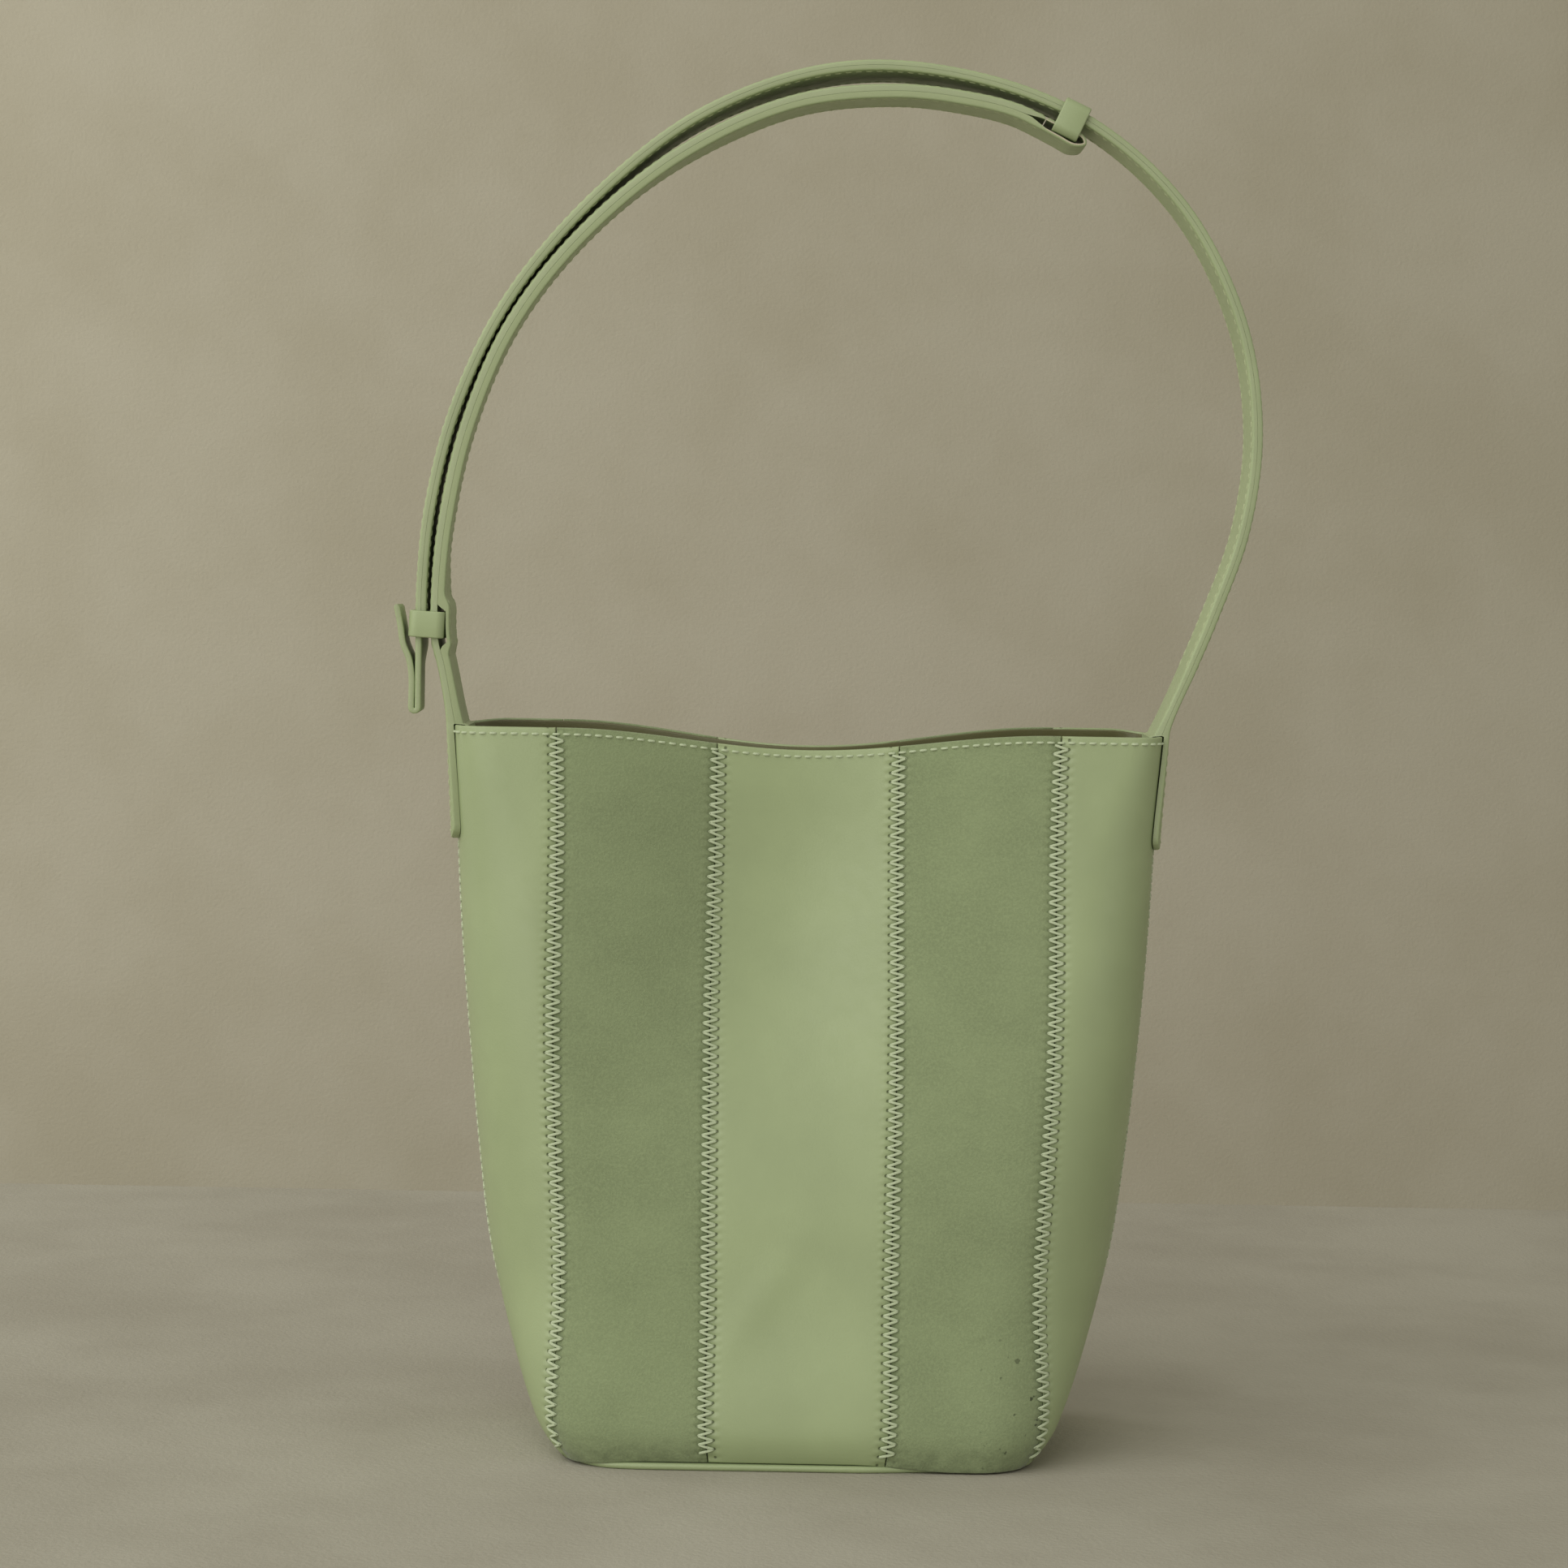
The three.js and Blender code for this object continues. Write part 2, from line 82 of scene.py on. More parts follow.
RIM_DIP = 6.3
RIM_DIP_REACH = 75
SEAM_GAP = 0.3
LEATHER = 1.8
LINING = 0.8
FACING = 1.0
FACING_HEIGHT = 22
TAB_THICKNESS = {"left": 2.3, "right": 1.7}
TAB_INNER_THICKNESS = 1.1
TAB_GAP = 0.4
TAB_INNER_GAP = 0.1
INNER_DEPTH = LEATHER + 0.2
LONG_HALF = 1.6
SHORT_HALF = 2.1
LOOP_PLY = 1.0
KEEPER_WALL = 1.1
LOWER_KEEPER_LENGTH = 8.1
UPPER_KEEPER_LENGTH = 8.3
LOWER_KEEPER_TILT = math.radians(3)
UPPER_KEEPER_TILT = math.radians(25)
LOWER_KEEPER_WIDTH = 10.8
UPPER_KEEPER_WIDTH = 11
KEEPER_CORNER = 1.9
KEEPER_BULGE = 0.15

ZIGZAG_PITCH = 2.8
ZIGZAG_REACH = 2.1
THREAD_RADIUS = 0.42
RIM_THREAD_RADIUS = 0.38
STRAP_THREAD_RADIUS = 0.28
RIM_PITCH = 3.2
RIM_ROW = 2.0
FACING_ROW = 4.0
STITCH_LENGTH = 1.75
WEAVE_PITCH = 0.7
HOLE_RADIUS = 0.42
SEAM_MAP = "SeamMap"


# ---- curves ---------------------------------------------------------------------------------


def smooth_curve(points, steps=24):
    """A centripetal Catmull-Rom curve through 2-D points, as many small steps."""
    knots = np.array(points, float)
    knots = np.vstack([2 * knots[0] - knots[1], knots, 2 * knots[-1] - knots[-2]])
    found = []
    for before, start, end, after in zip(knots, knots[1:], knots[2:], knots[3:]):
        gaps = (start - before, end - start, after - end)
        s0, s1, s2 = (math.sqrt(np.linalg.norm(gap)) for gap in gaps)
        leave = s1 * ((start - before) / s0 - (end - before) / (s0 + s1)) + (end - start)
        arrive = s1 * ((after - end) / s2 - (after - start) / (s1 + s2)) + (end - start)
        for t in np.arange(steps) / steps:
            bend = (-3 * start + 3 * end - 2 * leave - arrive) * t**2
            twist = (2 * start - 2 * end + leave + arrive) * t**3
            found.append(start + leave * t + bend + twist)
    found.append(knots[-2])
    return np.array(found)


def profile(points):
    """A smooth value against height."""
    samples = smooth_curve(points)
    return lambda height: np.interp(height, samples[:, 0], samples[:, 1])


def smoothstep(value, start, end):
    t = np.clip((value - start) / (end - start), 0, 1)
    return t * t * (3 - 2 * t)


def bell(value, centre, width):
    return np.exp(-(((value - centre) / width) ** 2))


def unit(vectors):
    return vectors / np.linalg.norm(vectors, axis=-1, keepdims=True)


def spaced(length, step, border=0.5):
    """Distances from 0 to length, with extra ones where a border is rounded."""
    close = border * np.array([0, 0.15, 0.5, 1])
    count = max(2, round((length - 2 * border) / step) + 1)
    return np.concatenate([close[:-1], np.linspace(border, length - border, count), length - close[-2::-1]])


# ---- the wall's surface ---------------------------------------------------------------------

half_width = profile([(0, 72), (14, 80.5), (50, 93), (90, 99.5), (140, 104.5), (222, 108.3)])
half_depth = profile([(0, 50.5), (14, 50), (50, 42), (90, 36), (140, 30.5), (222, 20.5)])
corner_profile = profile([(0, 19), (14, 24), (50, 36), (90, 33), (140, 27), (186, 20), (222, 8.5)])
outer_seam_share = profile([(0, 0.66), (14, 0.635), (50, 0.612), (120, 0.616), (222, 0.614)])
centre_seam_share = profile([(0, 0.23), (140, 0.23), (222, 0.222)])
PINCH = 0.735
PINCH_REACH = 82
PINCH_START = 70
PINCH_FULL = 202
FOOT_CURL = 2.4
FOOT_CURL_HEIGHT = 10
BACK_LIFT = 1.1
FOOT_DROP = 1.9
FOOT_DROP_HEIGHT = 12
FOOT_MIDDLE_X = -14
CREASE_X = -11
CREASE_HEIGHT = 50


def corner_radius(height):
    return np.minimum(corner_profile(height), half_depth(height) - 1)


def quarter_length(height):
    r = corner_radius(height)
    return half_width(height) + half_depth(height) - 2 * r + np.pi / 2 * r


def pinch(x, height):
    """The mouth closes in the middle, and less and less so down the wall."""
    strength = PINCH * smoothstep(height, PINCH_START, PINCH_FULL)
    inside = np.clip(np.abs(x) / PINCH_REACH, 0, 1)
    return 1 - strength * np.cos(np.pi / 2 * inside) ** 2


def plan_point(quarter, height):
    """X and Y on the plan curve: quarter is 0 at the front centre, 1 right, 2 back, 3 left."""
    a = half_width(height)
    b = half_depth(height)
    r = corner_radius(height)
    turn = np.mod(quarter, 4)
    back = (turn > 1) & (turn < 3)
    share = np.abs(np.where(back, turn - 2, np.where(turn > 2, turn - 4, turn)))
    flat = a - r
    length = share * (flat + np.pi / 2 * r + b - r)
    angle = np.clip((length - flat) / r, 0, np.pi / 2)
    x = np.minimum(length, flat) + r * np.sin(angle)
    y = b - r + r * np.cos(angle) - np.maximum(length - flat - np.pi / 2 * r, 0)
    return np.where(turn > 2, -1, 1) * x, np.where(back, 1, -1) * y * pinch(x, height)


def rim_height(x):
    inside = np.clip(np.abs(x) / RIM_DIP_REACH, 0, 1)
    return BAG_HEIGHT - RIM_DIP * np.cos(np.pi / 2 * inside) ** 2


def towards_corner(x):
    """0 in the middle of the front and back, rising to 1 towards the corners of the foot."""
    return smoothstep(np.abs(x - FOOT_MIDDLE_X), 30, 62)


def surface_point(quarter, rise):
    quarter, rise = np.broadcast_arrays(quarter, rise)
    nominal = WALL_BOTTOM + (BAG_HEIGHT - WALL_BOTTOM) * rise
    x, y = plan_point(quarter, nominal)
    turn = np.mod(quarter, 4)
    lift = np.where((turn > 1) & (turn < 3), BACK_LIFT * smoothstep(108 - np.abs(x), 0, 14) * rise, 0)
    drop = FOOT_DROP * towards_corner(x) * np.clip(1 - (nominal - WALL_BOTTOM) / FOOT_DROP_HEIGHT, 0, 1)
    return np.stack([x, y, WALL_BOTTOM + (rim_height(x) - WALL_BOTTOM) * rise + lift - drop], axis=-1)


def softness(quarter, rise):
    """How far the leather stands off its plain shape, outwards: soft waves, a crease low on the
    centre stripe, and the foot of the wall turned under towards the base."""
    fade = np.sin(np.pi * np.clip(rise, 0, 1)) ** 0.6
    wave = 0.35 * np.sin(5.2 * quarter + 7.5 * rise) + 0.25 * np.sin(9.1 * quarter - 11 * rise + 1.3)
    x = 114 * (np.mod(quarter + 2, 4) - 2)
    above = (BAG_HEIGHT - WALL_BOTTOM) * rise
    beside = x - CREASE_X
    over = above - CREASE_HEIGHT
    along = beside * 0.54 + over * 0.84
    across = beside * 0.84 - over * 0.54
    crease = 0.55 * bell(across, 0, 5) * bell(along, 0, 20)
    curl = FOOT_CURL * np.clip(1 - above / FOOT_CURL_HEIGHT, 0, 1) ** 2
    return fade * wave + crease - curl


def wall_point(quarter, rise, depth):
    """A point below the outer surface: depth counts inwards."""
    step = 0.01
    low = np.clip(rise - step, 0, 1)
    high = np.clip(rise + step, 0, 1)
    along = surface_point(quarter + step, rise) - surface_point(quarter - step, rise)
    up = surface_point(quarter, high) - surface_point(quarter, low)
    outward = np.cross(along, up)
    outward[..., 2] = 0
    depth = np.asarray(depth - softness(quarter, rise))
    return surface_point(quarter, rise) - unit(outward) * depth[..., None]


def rise_at(height):
    return (height - WALL_BOTTOM) / (BAG_HEIGHT - WALL_BOTTOM)


# ---- mesh building --------------------------------------------------------------------------


def add_mesh(name, points, faces, materials, seam_map=None, second=()):
    """A closed mesh from points in millimetres. second marks the faces that take materials[1]."""
    mesh = bpy.data.meshes.new(name)
    mesh.from_pydata((np.asarray(points) * MM).tolist(), [], [tuple(map(int, f)) for f in faces])
    for material in materials:
        mesh.materials.append(material)
    if len(second):
        mesh.polygons.foreach_set("material_index", np.asarray(second, np.int32))
    if seam_map is not None:
        corners = np.empty(len(mesh.loops), np.int32)
        mesh.loops.foreach_get("vertex_index", corners)
        mesh.uv_layers.new(name=SEAM_MAP).data.foreach_set("uv", seam_map[corners].astype(np.float32).ravel())
    work = bmesh.new()
    work.from_mesh(mesh)
    bmesh.ops.recalc_face_normals(work, faces=work.faces)
    work.to_mesh(mesh)
    work.free()
    mesh.shade_smooth()
    mesh.set_sharp_from_angle(angle=math.radians(50))
    thing = bpy.data.objects.new(name, mesh)
    bpy.context.scene.collection.objects.link(thing)
    return thing


def grid_faces(rows, columns, first=0, wrap=False):
    """Quads over a grid of points numbered row by row."""
    across = columns if wrap else columns - 1
    row, column = np.meshgrid(np.arange(rows - 1), np.arange(across), indexing="ij")
    corner = first + row * columns + column
    beside = first + row * columns + (column + 1) % columns
    return np.stack([corner, beside, beside + columns, corner + columns], axis=-1).reshape(-1, 4)


def border_drop(sides, rounding):
    """How far a face sinks near the borders that these distances are measured from."""
    near = np.clip(np.min(sides, axis=0), 0, rounding)
    return rounding - np.sqrt(rounding**2 - (rounding - near) ** 2)


def add_sheet(name, outer, inner, across, along, materials, rounding=(0.5, 0.5), seam_map=None):
    """A closed layer between two grids of points. rounding is for the outer and the inner borders."""
    rows, columns = outer.shape[:2]
    across = np.broadcast_to(across, (rows, columns))
    along = np.broadcast_to(along, (rows, columns))
    sides = [across - across[:, :1], across[:, -1:] - across, along - along[:1], along[-1:] - along]
    through = unit(inner - outer)
    outer = outer + through * border_drop(sides, rounding[0])[..., None]
    inner = inner - through * border_drop(sides, rounding[1])[..., None]
    points = np.concatenate([outer.reshape(-1, 3), inner.reshape(-1, 3)])
    count = rows * columns
    number = np.arange(count).reshape(rows, columns)
    borders = []
    for line in (number[0], number[-1], number[:, 0], number[:, -1]):
        borders.append(np.stack([line[:-1], line[1:], line[1:] + count, line[:-1] + count], axis=-1))
    borders = np.concatenate(borders)
    faces = np.concatenate([grid_faces(rows, columns), grid_faces(rows, columns, count), borders])
    second = np.zeros(len(faces), np.int32)
    if len(materials) > 1:
        second[-len(borders):] = 1
    if seam_map is not None:
        seam_map = np.concatenate([seam_map.reshape(-1, 2)] * 2)
    return add_mesh(name, points, faces, materials, seam_map, second)


def add_tubes(name, paths, normals, radius, materials, sides=6):
    """Round threads along many paths that all have the same number of points."""
    count, length = paths.shape[:2]
    tangent = unit(np.gradient(paths, axis=1))
    side = unit(np.cross(normals, tangent))
    up = np.cross(tangent, side)
    turn = 2 * np.pi * np.arange(sides) / sides
    ring = np.cos(turn)[:, None] * side[:, :, None] + np.sin(turn)[:, None] * up[:, :, None]
    points = (paths[:, :, None] + radius * ring).reshape(-1, 3)
    one = grid_faces(length, sides, wrap=True)
    step = length * sides
    faces = np.concatenate([one + step * i for i in range(count)]).tolist()
    for i in range(count):
        faces.append(list(range(i * step, i * step + sides)))
        faces.append(list(range((i + 1) * step - sides, (i + 1) * step)))
    return add_mesh(name, points, faces, materials)


def add_turned(name, outline, place, materials, steps=48):
    """A lathe-turned solid from [radius, height] points that start and end on the axis."""
    turn = 2 * np.pi * np.arange(steps) / steps
    rings = np.array(outline[1:-1], float)
    circle = np.stack([np.cos(turn), np.sin(turn)], axis=-1)
    points = np.empty((len(rings), steps, 3))
    points[..., :2] = rings[:, :1, None] * circle
    points[..., 2] = rings[:, 1:]
    faces = grid_faces(len(rings), steps, wrap=True).tolist()
    faces.append(list(range(steps)))
    faces.append(list(range((len(rings) - 1) * steps, len(rings) * steps)))
    return add_mesh(name, place(points.reshape(-1, 3)), faces, materials)


# ---- materials ------------------------------------------------------------------------------


def colour(red, green, blue):
    """A screen colour, 0 to 255, as the linear colour a shader takes."""
    found = []
    for value in (red, green, blue):
        share = value / 255
        found.append(share / 12.92 if share <= 0.04045 else ((share + 0.055) / 1.055) ** 2.4)
    return (*found, 1.0)


def shade(tone, amount):
    """The same colour, darker or lighter by this factor."""
    return (*(channel * amount for channel in tone[:3]), 1.0)


class Shader:
    """A material with one Principled shader and short ways to feed it."""

    def __init__(self, name, **settings):
        self.material = bpy.data.materials.new(name)
        self.material.use_nodes = True
        self.tree = self.material.node_tree
        self.surface = self.tree.nodes["Principled BSDF"]
        for socket, value in settings.items():
            self.surface.inputs[socket.replace("_", " ")].default_value = value
        self.place = self.node("TexCoord").outputs["Object"]

    def node(self, kind):
        return self.tree.nodes.new("ShaderNode" + kind)

    def feed(self, socket, value):
        if isinstance(value, bpy.types.NodeSocket):
            self.tree.links.new(value, socket)
        else:
            socket.default_value = value

    def maths(self, operation, *values):
        made = self.node("Math")
        made.operation = operation
        for socket, value in zip(made.inputs, values):
            self.feed(socket, value)
        return made.outputs[0]

    def noise(self, scale, detail=2.0, roughness=0.5, stretch=(1, 1, 1)):
        """Noise whose features are about 1 / scale metres, stretched along the axes."""
        mapping = self.node("Mapping")
        mapping.inputs["Scale"].default_value = stretch
        self.feed(mapping.inputs["Vector"], self.place)
        made = self.node("TexNoise")
        for socket, value in (("Scale", scale), ("Detail", detail), ("Roughness", roughness)):
            made.inputs[socket].default_value = value
        self.feed(made.inputs["Vector"], mapping.outputs[0])
        return made.outputs[0]

    def remap(self, value, low, high, to_low=0.0, to_high=1.0):
        made = self.node("MapRange")
        made.interpolation_type = "SMOOTHSTEP"
        for socket, given in zip(made.inputs, (value, low, high, to_low, to_high)):
            self.feed(socket, given)
        return made.outputs[0]

    def mix(self, share, first, second):
        made = self.node("Mix")
        made.data_type = "RGBA"
        self.feed(made.inputs[0], share)
        self.feed(made.inputs[6], first)
        self.feed(made.inputs[7], second)
        return made.outputs[2]

    def axis(self, name):
        split = self.node("SeparateXYZ")
        self.feed(split.inputs[0], self.place)
        return split.outputs[name]

    def paint(self, value):
        self.feed(self.surface.inputs["Base Color"], value)

    def bump(self, height, depth_mm, under=None):
        made = self.node("Bump")
        made.inputs["Distance"].default_value = depth_mm * MM
        self.feed(made.inputs["Height"], height)
        if under is not None:
            self.feed(made.inputs["Normal"], under)
        self.feed(self.surface.inputs["Normal"], made.outputs[0])
        return made.outputs[0]

    def seam(self):
        """(how far the spot is from the nearest zigzag's holes, in hole radii; the pucker's height)."""
        uv = self.node("UVMap")
        uv.uv_map = SEAM_MAP
        split = self.node("SeparateXYZ")
        self.feed(split.inputs[0], uv.outputs[0])
        distance, height = split.outputs[0], split.outputs[1]
        turns = self.maths("DIVIDE", height, ZIGZAG_PITCH)
        phase = self.maths("SUBTRACT", self.maths("FRACT", self.maths("ADD", turns, 0.5)), 0.5)
        up = self.maths("MULTIPLY", phase, ZIGZAG_PITCH / HOLE_RADIUS)
        beyond = self.maths("SUBTRACT", distance, ZIGZAG_REACH + HOLE_RADIUS * 0.8)
        out = self.maths("DIVIDE", beyond, HOLE_RADIUS)
        away = self.maths("SQRT", self.maths("ADD", self.maths("POWER", self.maths("ABSOLUTE", up), 2.0),
                                             self.maths("POWER", self.maths("ABSOLUTE", out), 2.0)))
        wave = self.maths("COSINE", self.maths("MULTIPLY", turns, 2 * math.pi))
        near = self.remap(distance, ZIGZAG_REACH, ZIGZAG_REACH + 3.2, 1.0, 0.0)
        valley = self.remap(distance, 0.0, ZIGZAG_REACH + 1.8)
        ripple = self.maths("MULTIPLY", self.maths("MULTIPLY", wave, near), 0.35)
        return away, self.maths("SUBTRACT", valley, ripple)


def leather_material(name, tone, grain=0.05, seamed=False):
    """Smooth dyed leather: a fine, shallow grain and a soft sheen."""
    shader = Shader(name, Specular_IOR_Level=0.6)
    cloud = shader.noise(28, 3, 0.55)
    dull = shade(tone, 0.9)
    base = shader.mix(shader.remap(cloud, 0.3, 0.75), dull, tone)
    fine = shader.noise(1500, 3, 0.6)
    shader.feed(shader.surface.inputs["Roughness"], shader.remap(shader.noise(260, 2), 0.2, 0.8, 0.4, 0.52))
    normal = shader.bump(fine, grain)
    if seamed:
        away, pucker = shader.seam()
        # Painted shade: the needle holes beside the zigzag seams are darkened where shade would fall inside
        # them.
        hole = shader.remap(away, 0.5, 1.25, 1.0, 0.0)
        base = shader.mix(hole, base, shade(tone, 0.4))
        normal = shader.bump(pucker, 0.35, under=normal)
        shader.bump(shader.remap(away, 0.3, 1.5), 0.3, under=normal)
    shader.paint(base)
    return shader.material


def cut_end_material(name, painted, raw):
    """The edge of a ply that is painted as far as the end loop, where it is left raw and pale."""
    shader = Shader(name, Specular_IOR_Level=0.3, Roughness=0.7)
    fibre = shader.noise(1600, 3, 0.6)
    bare = shader.remap(shader.axis("X"), 0.067, 0.071)
    shader.paint(shader.mix(bare, painted, shader.mix(fibre, shade(raw, 0.8), raw)))
    shader.bump(fibre, 0.05)
    return shader.material


def suede_material(name, tone):
    """Suede: a short brushed nap, with darker and lighter strokes and worn spots near the base."""
    shader = Shader(name, Roughness=0.95, Specular_IOR_Level=0.12, Sheen_Weight=0.25, Sheen_Roughness=0.45)
    strokes = shader.remap(shader.noise(34, 4, 0.6, stretch=(1, 1, 1.6)), 0.32, 0.7)
    nap = shader.remap(shader.noise(1300, 3, 0.7), 0.3, 0.72)
    dark = shade(tone, 0.9)
    light = shade(tone, 1.03)
    base = shader.mix(strokes, dark, light)
    base = shader.mix(shader.maths("MULTIPLY", nap, 0.5), base, shade(tone, 1.3))
    height = shader.axis("Z")
    wear = shader.remap(height, 0.002, 0.014, 0.4, 0.0)
    rubbed = shader.maths("MULTIPLY", wear, shader.remap(shader.noise(240, 4, 0.65), 0.35, 0.75))
    base = shader.mix(rubbed, base, shade(tone, 0.35))
    low = shader.remap(height, 0.02, 0.055, 1.0, 0.0)
    right = shader.remap(shader.axis("X"), 0.045, 0.068)
    speck = shader.remap(shader.noise(330, 2, 0.5), 0.67, 0.72)
    spots = shader.maths("MULTIPLY", shader.maths("MULTIPLY", low, right), speck)
    base = shader.mix(spots, base, shade(tone, 0.3))
    away, pucker = shader.seam()
    # Painted shade: the needle holes beside the zigzag seams are darkened on the suede side too.
    base = shader.mix(shader.remap(away, 0.5, 1.5, 0.35, 0.0), base, shade(tone, 0.35))
    normal = shader.bump(nap, 0.07)
    shader.bump(pucker, 0.4, under=normal)
    shader.paint(base)
    return shader.material


def thread_material(name, tone):
    """Twisted sewing thread."""
    shader = Shader(name, Roughness=0.6, Sheen_Weight=0.2)
    strand = shader.noise(2400, 2, 0.5)
    shader.paint(shader.mix(strand, shade(tone, 0.8), tone))
    shader.bump(strand, 0.08)
    return shader.material


def cloth_material(name, tone):
    """Plain woven cloth."""
    shader = Shader(name, Roughness=0.9, Specular_IOR_Level=0.15)
    turns = 2 * math.pi / (WEAVE_PITCH * MM)
    weave = shader.maths("MULTIPLY", shader.maths("SINE", shader.maths("MULTIPLY", shader.axis("X"), turns)),
                         shader.maths("SINE", shader.maths("MULTIPLY", shader.axis("Z"), turns)))
    raised = shader.remap(weave, -1.0, 1.0)
    shader.paint(shader.mix(raised, shade(tone, 0.75), tone))
    shader.bump(raised, 0.12)
    return shader.material


def board_material(name, tone):
    """Pressed fibre board."""
    shader = Shader(name, Roughness=0.88, Specular_IOR_Level=0.2)
    flecks = shader.noise(700, 4, 0.7)
    shader.paint(shader.mix(flecks, shade(tone, 0.7), tone))
    shader.bump(flecks, 0.08)
    return shader.material


def metal_material(name):
    """Nickel-plated pressed metal with fine wear."""
    shader = Shader(name, Metallic=1.0, Base_Color=colour(205, 203, 196))
    shader.feed(shader.surface.inputs["Roughness"], shader.remap(shader.noise(900, 3), 0.2, 0.8, 0.2, 0.38))
    return shader.material


def stage_material(name, tone, second, scale, bump_mm):
    """Matt cloth for the table and the wall, with soft patches."""
    shader = Shader(name, Roughness=1.0, Specular_IOR_Level=0.0)
    patches = shader.remap(shader.noise(scale, 5, 0.6), 0.3, 0.72)
    grain = shader.noise(scale * 60, 2, 0.6)
    share = shader.maths("MULTIPLY", shader.maths("ADD", patches, shader.maths("MULTIPLY", grain, 0.25)), 0.8)
    shader.paint(shader.mix(share, tone, second))
    shader.bump(grain, bump_mm)
    return shader.material


GREEN = colour(166, 181, 136)
smooth = leather_material("smooth_leather", GREEN, seamed=True)
plain_leather = leather_material("strap_leather", GREEN)
cut_edge = leather_material("painted_edge", colour(166, 178, 138), grain=0.03)
# Painted shade: the rim facing is given a dark brown-olive so the inside of the mouth looks shaded.
shade_darkened_facing = leather_material("shade_darkened_facing", colour(98, 96, 56))
raw_edge = cut_end_material("raw_edge", colour(166, 178, 138), colour(205, 196, 172))
suede = suede_material("suede", colour(140, 153, 116))
thread = thread_material("thread", colour(202, 215, 180))
strap_thread = thread_material("strap_thread", colour(184, 194, 152))
lining_cloth = cloth_material("lining_cloth", colour(150, 152, 112))
board = board_material("stiffener_board", colour(186, 170, 140))
nickel = metal_material("snap_metal")


def settle(thing, slot, *nodes, body="root"):
    """Hides the CAD nodes that a piece stands for and parents it to the empty of its body; a neck piece only
    has its transform baked in. slot is not used.
    """
    if nodes:
        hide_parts(*nodes)
    if body == "neck":
        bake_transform(thing)
    else:
        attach(thing, body)
    return thing


# ---- panels, facings and linings ------------------------------------------------------------

# The seams between the stripes of one side, as functions of height that give a quarter.
SEAMS = [
    lambda height: -1 + 0 * height,
    lambda height: -outer_seam_share(height),
    lambda height: -centre_seam_share(height),
    lambda height: centre_seam_share(height),
    lambda height: outer_seam_share(height),
    lambda height: 1 + 0 * height,
]
STRIPES = {
    "front": ["left_smooth", "left_suede", "centre_smooth", "right_suede", "right_smooth"],
    "back": ["right_smooth", "right_suede", "centre_smooth", "left_suede", "left_smooth"],
}
TURN = {"front": 0, "back": 2}


def layer_grid(turn, left, right, low, high, step_across=3.0, step_up=2.2, border=0.5):
    """Quarters and rises of a piece of wall between two seams and two heights, and its measures."""
    up = low + spaced(high - low, step_up, border)
    height = up[:, None]
    width = (right(height) - left(height)) * quarter_length(height) - SEAM_GAP
    widest = float(width.max())
    share = spaced(widest, step_across, border)[None, :] / widest
    start = left(height) * quarter_length(height) + SEAM_GAP / 2
    across = share * width
    quarter = turn + (start + across) / quarter_length(height)
    rise = np.broadcast_to(rise_at(height), quarter.shape)
    return quarter, rise, across, np.broadcast_to(height, quarter.shape)


def add_panel(side, number):
    """One stripe. Its outer face dips towards the zigzag seams and is rounded at the butted edges."""
    stripe = STRIPES[side][number]
    name = f"{side}_{stripe}_panel"
    quarter, rise, across, height = layer_grid(
        TURN[side], SEAMS[number], SEAMS[number + 1], WALL_BOTTOM, BAG_HEIGHT)
    from_right = across[:, -1:] - across
    nearest = np.minimum(across, from_right)
    dip = 0.3 * bell(nearest, 0, 2.2)
    outer = wall_point(quarter, rise, dip)
    inner = wall_point(quarter, rise, LEATHER)
    shift = np.where(across < from_right, ZIGZAG_PITCH / 2, 0)
    seam_map = np.stack([nearest + SEAM_GAP / 2, height + shift], axis=-1)
    is_suede = "suede" in stripe
    materials = [suede if is_suede else smooth, cut_edge]
    panel = add_sheet(f"{name}_visual", outer, inner, across, height, materials, (0.45, 0.3), seam_map)
    settle(panel, "suede" if is_suede else "smooth_leather", name)


def add_inner_layer(name, side, low, high, thickness, material, slot):
    """The lining or the facing: one layer right across a side, inside the panels."""
    border = thickness * 0.4
    quarter, rise, across, height = layer_grid(TURN[side], SEAMS[0], SEAMS[-1], low, high, 3.2, 3.0, border)
    outer = wall_point(quarter, rise, INNER_DEPTH)
    inner = wall_point(quarter, rise, INNER_DEPTH + thickness)
    layer = add_sheet(f"{name}_visual", outer, inner, across, height, [material], (border, border))
    settle(layer, slot, name)


for side in STRIPES:
    for number in range(len(STRIPES[side])):
        add_panel(side, number)
    facing_low = BAG_HEIGHT - FACING_HEIGHT
    add_inner_layer(f"rim_facing_{side}", side, facing_low, BAG_HEIGHT - 0.5, FACING, shade_darkened_facing,
                    "smooth_leather")
    add_inner_layer(f"lining_{side}", side, node_box(f"lining_{side}")[0][2], facing_low - 0.3, LINING,
                    lining_cloth, "lining_cloth")

# ---- base -----------------------------------------------------------------------------------


def rounded_loop(width, depth, radius, steps=12, along=8):
    """Points round a rounded rectangle, and the outward direction at each."""
    centres = np.array([(1, 1), (-1, 1), (-1, -1), (1, -1)]) * (width / 2 - radius, depth / 2 - radius)
    points, outward = [], []
    for corner, (centre, following) in enumerate(zip(centres, np.roll(centres, -1, axis=0))):
        for angle in math.pi / 2 * (corner + np.arange(steps + 1) / steps):
            direction = np.array([math.cos(angle), math.sin(angle)])
            points.append(centre + radius * direction)
            outward.append(direction)
        for share in np.arange(1, along) / along:
            points.append(centre + (following - centre) * share + radius * direction)
            outward.append(direction)
    return np.array(points), np.array(outward)


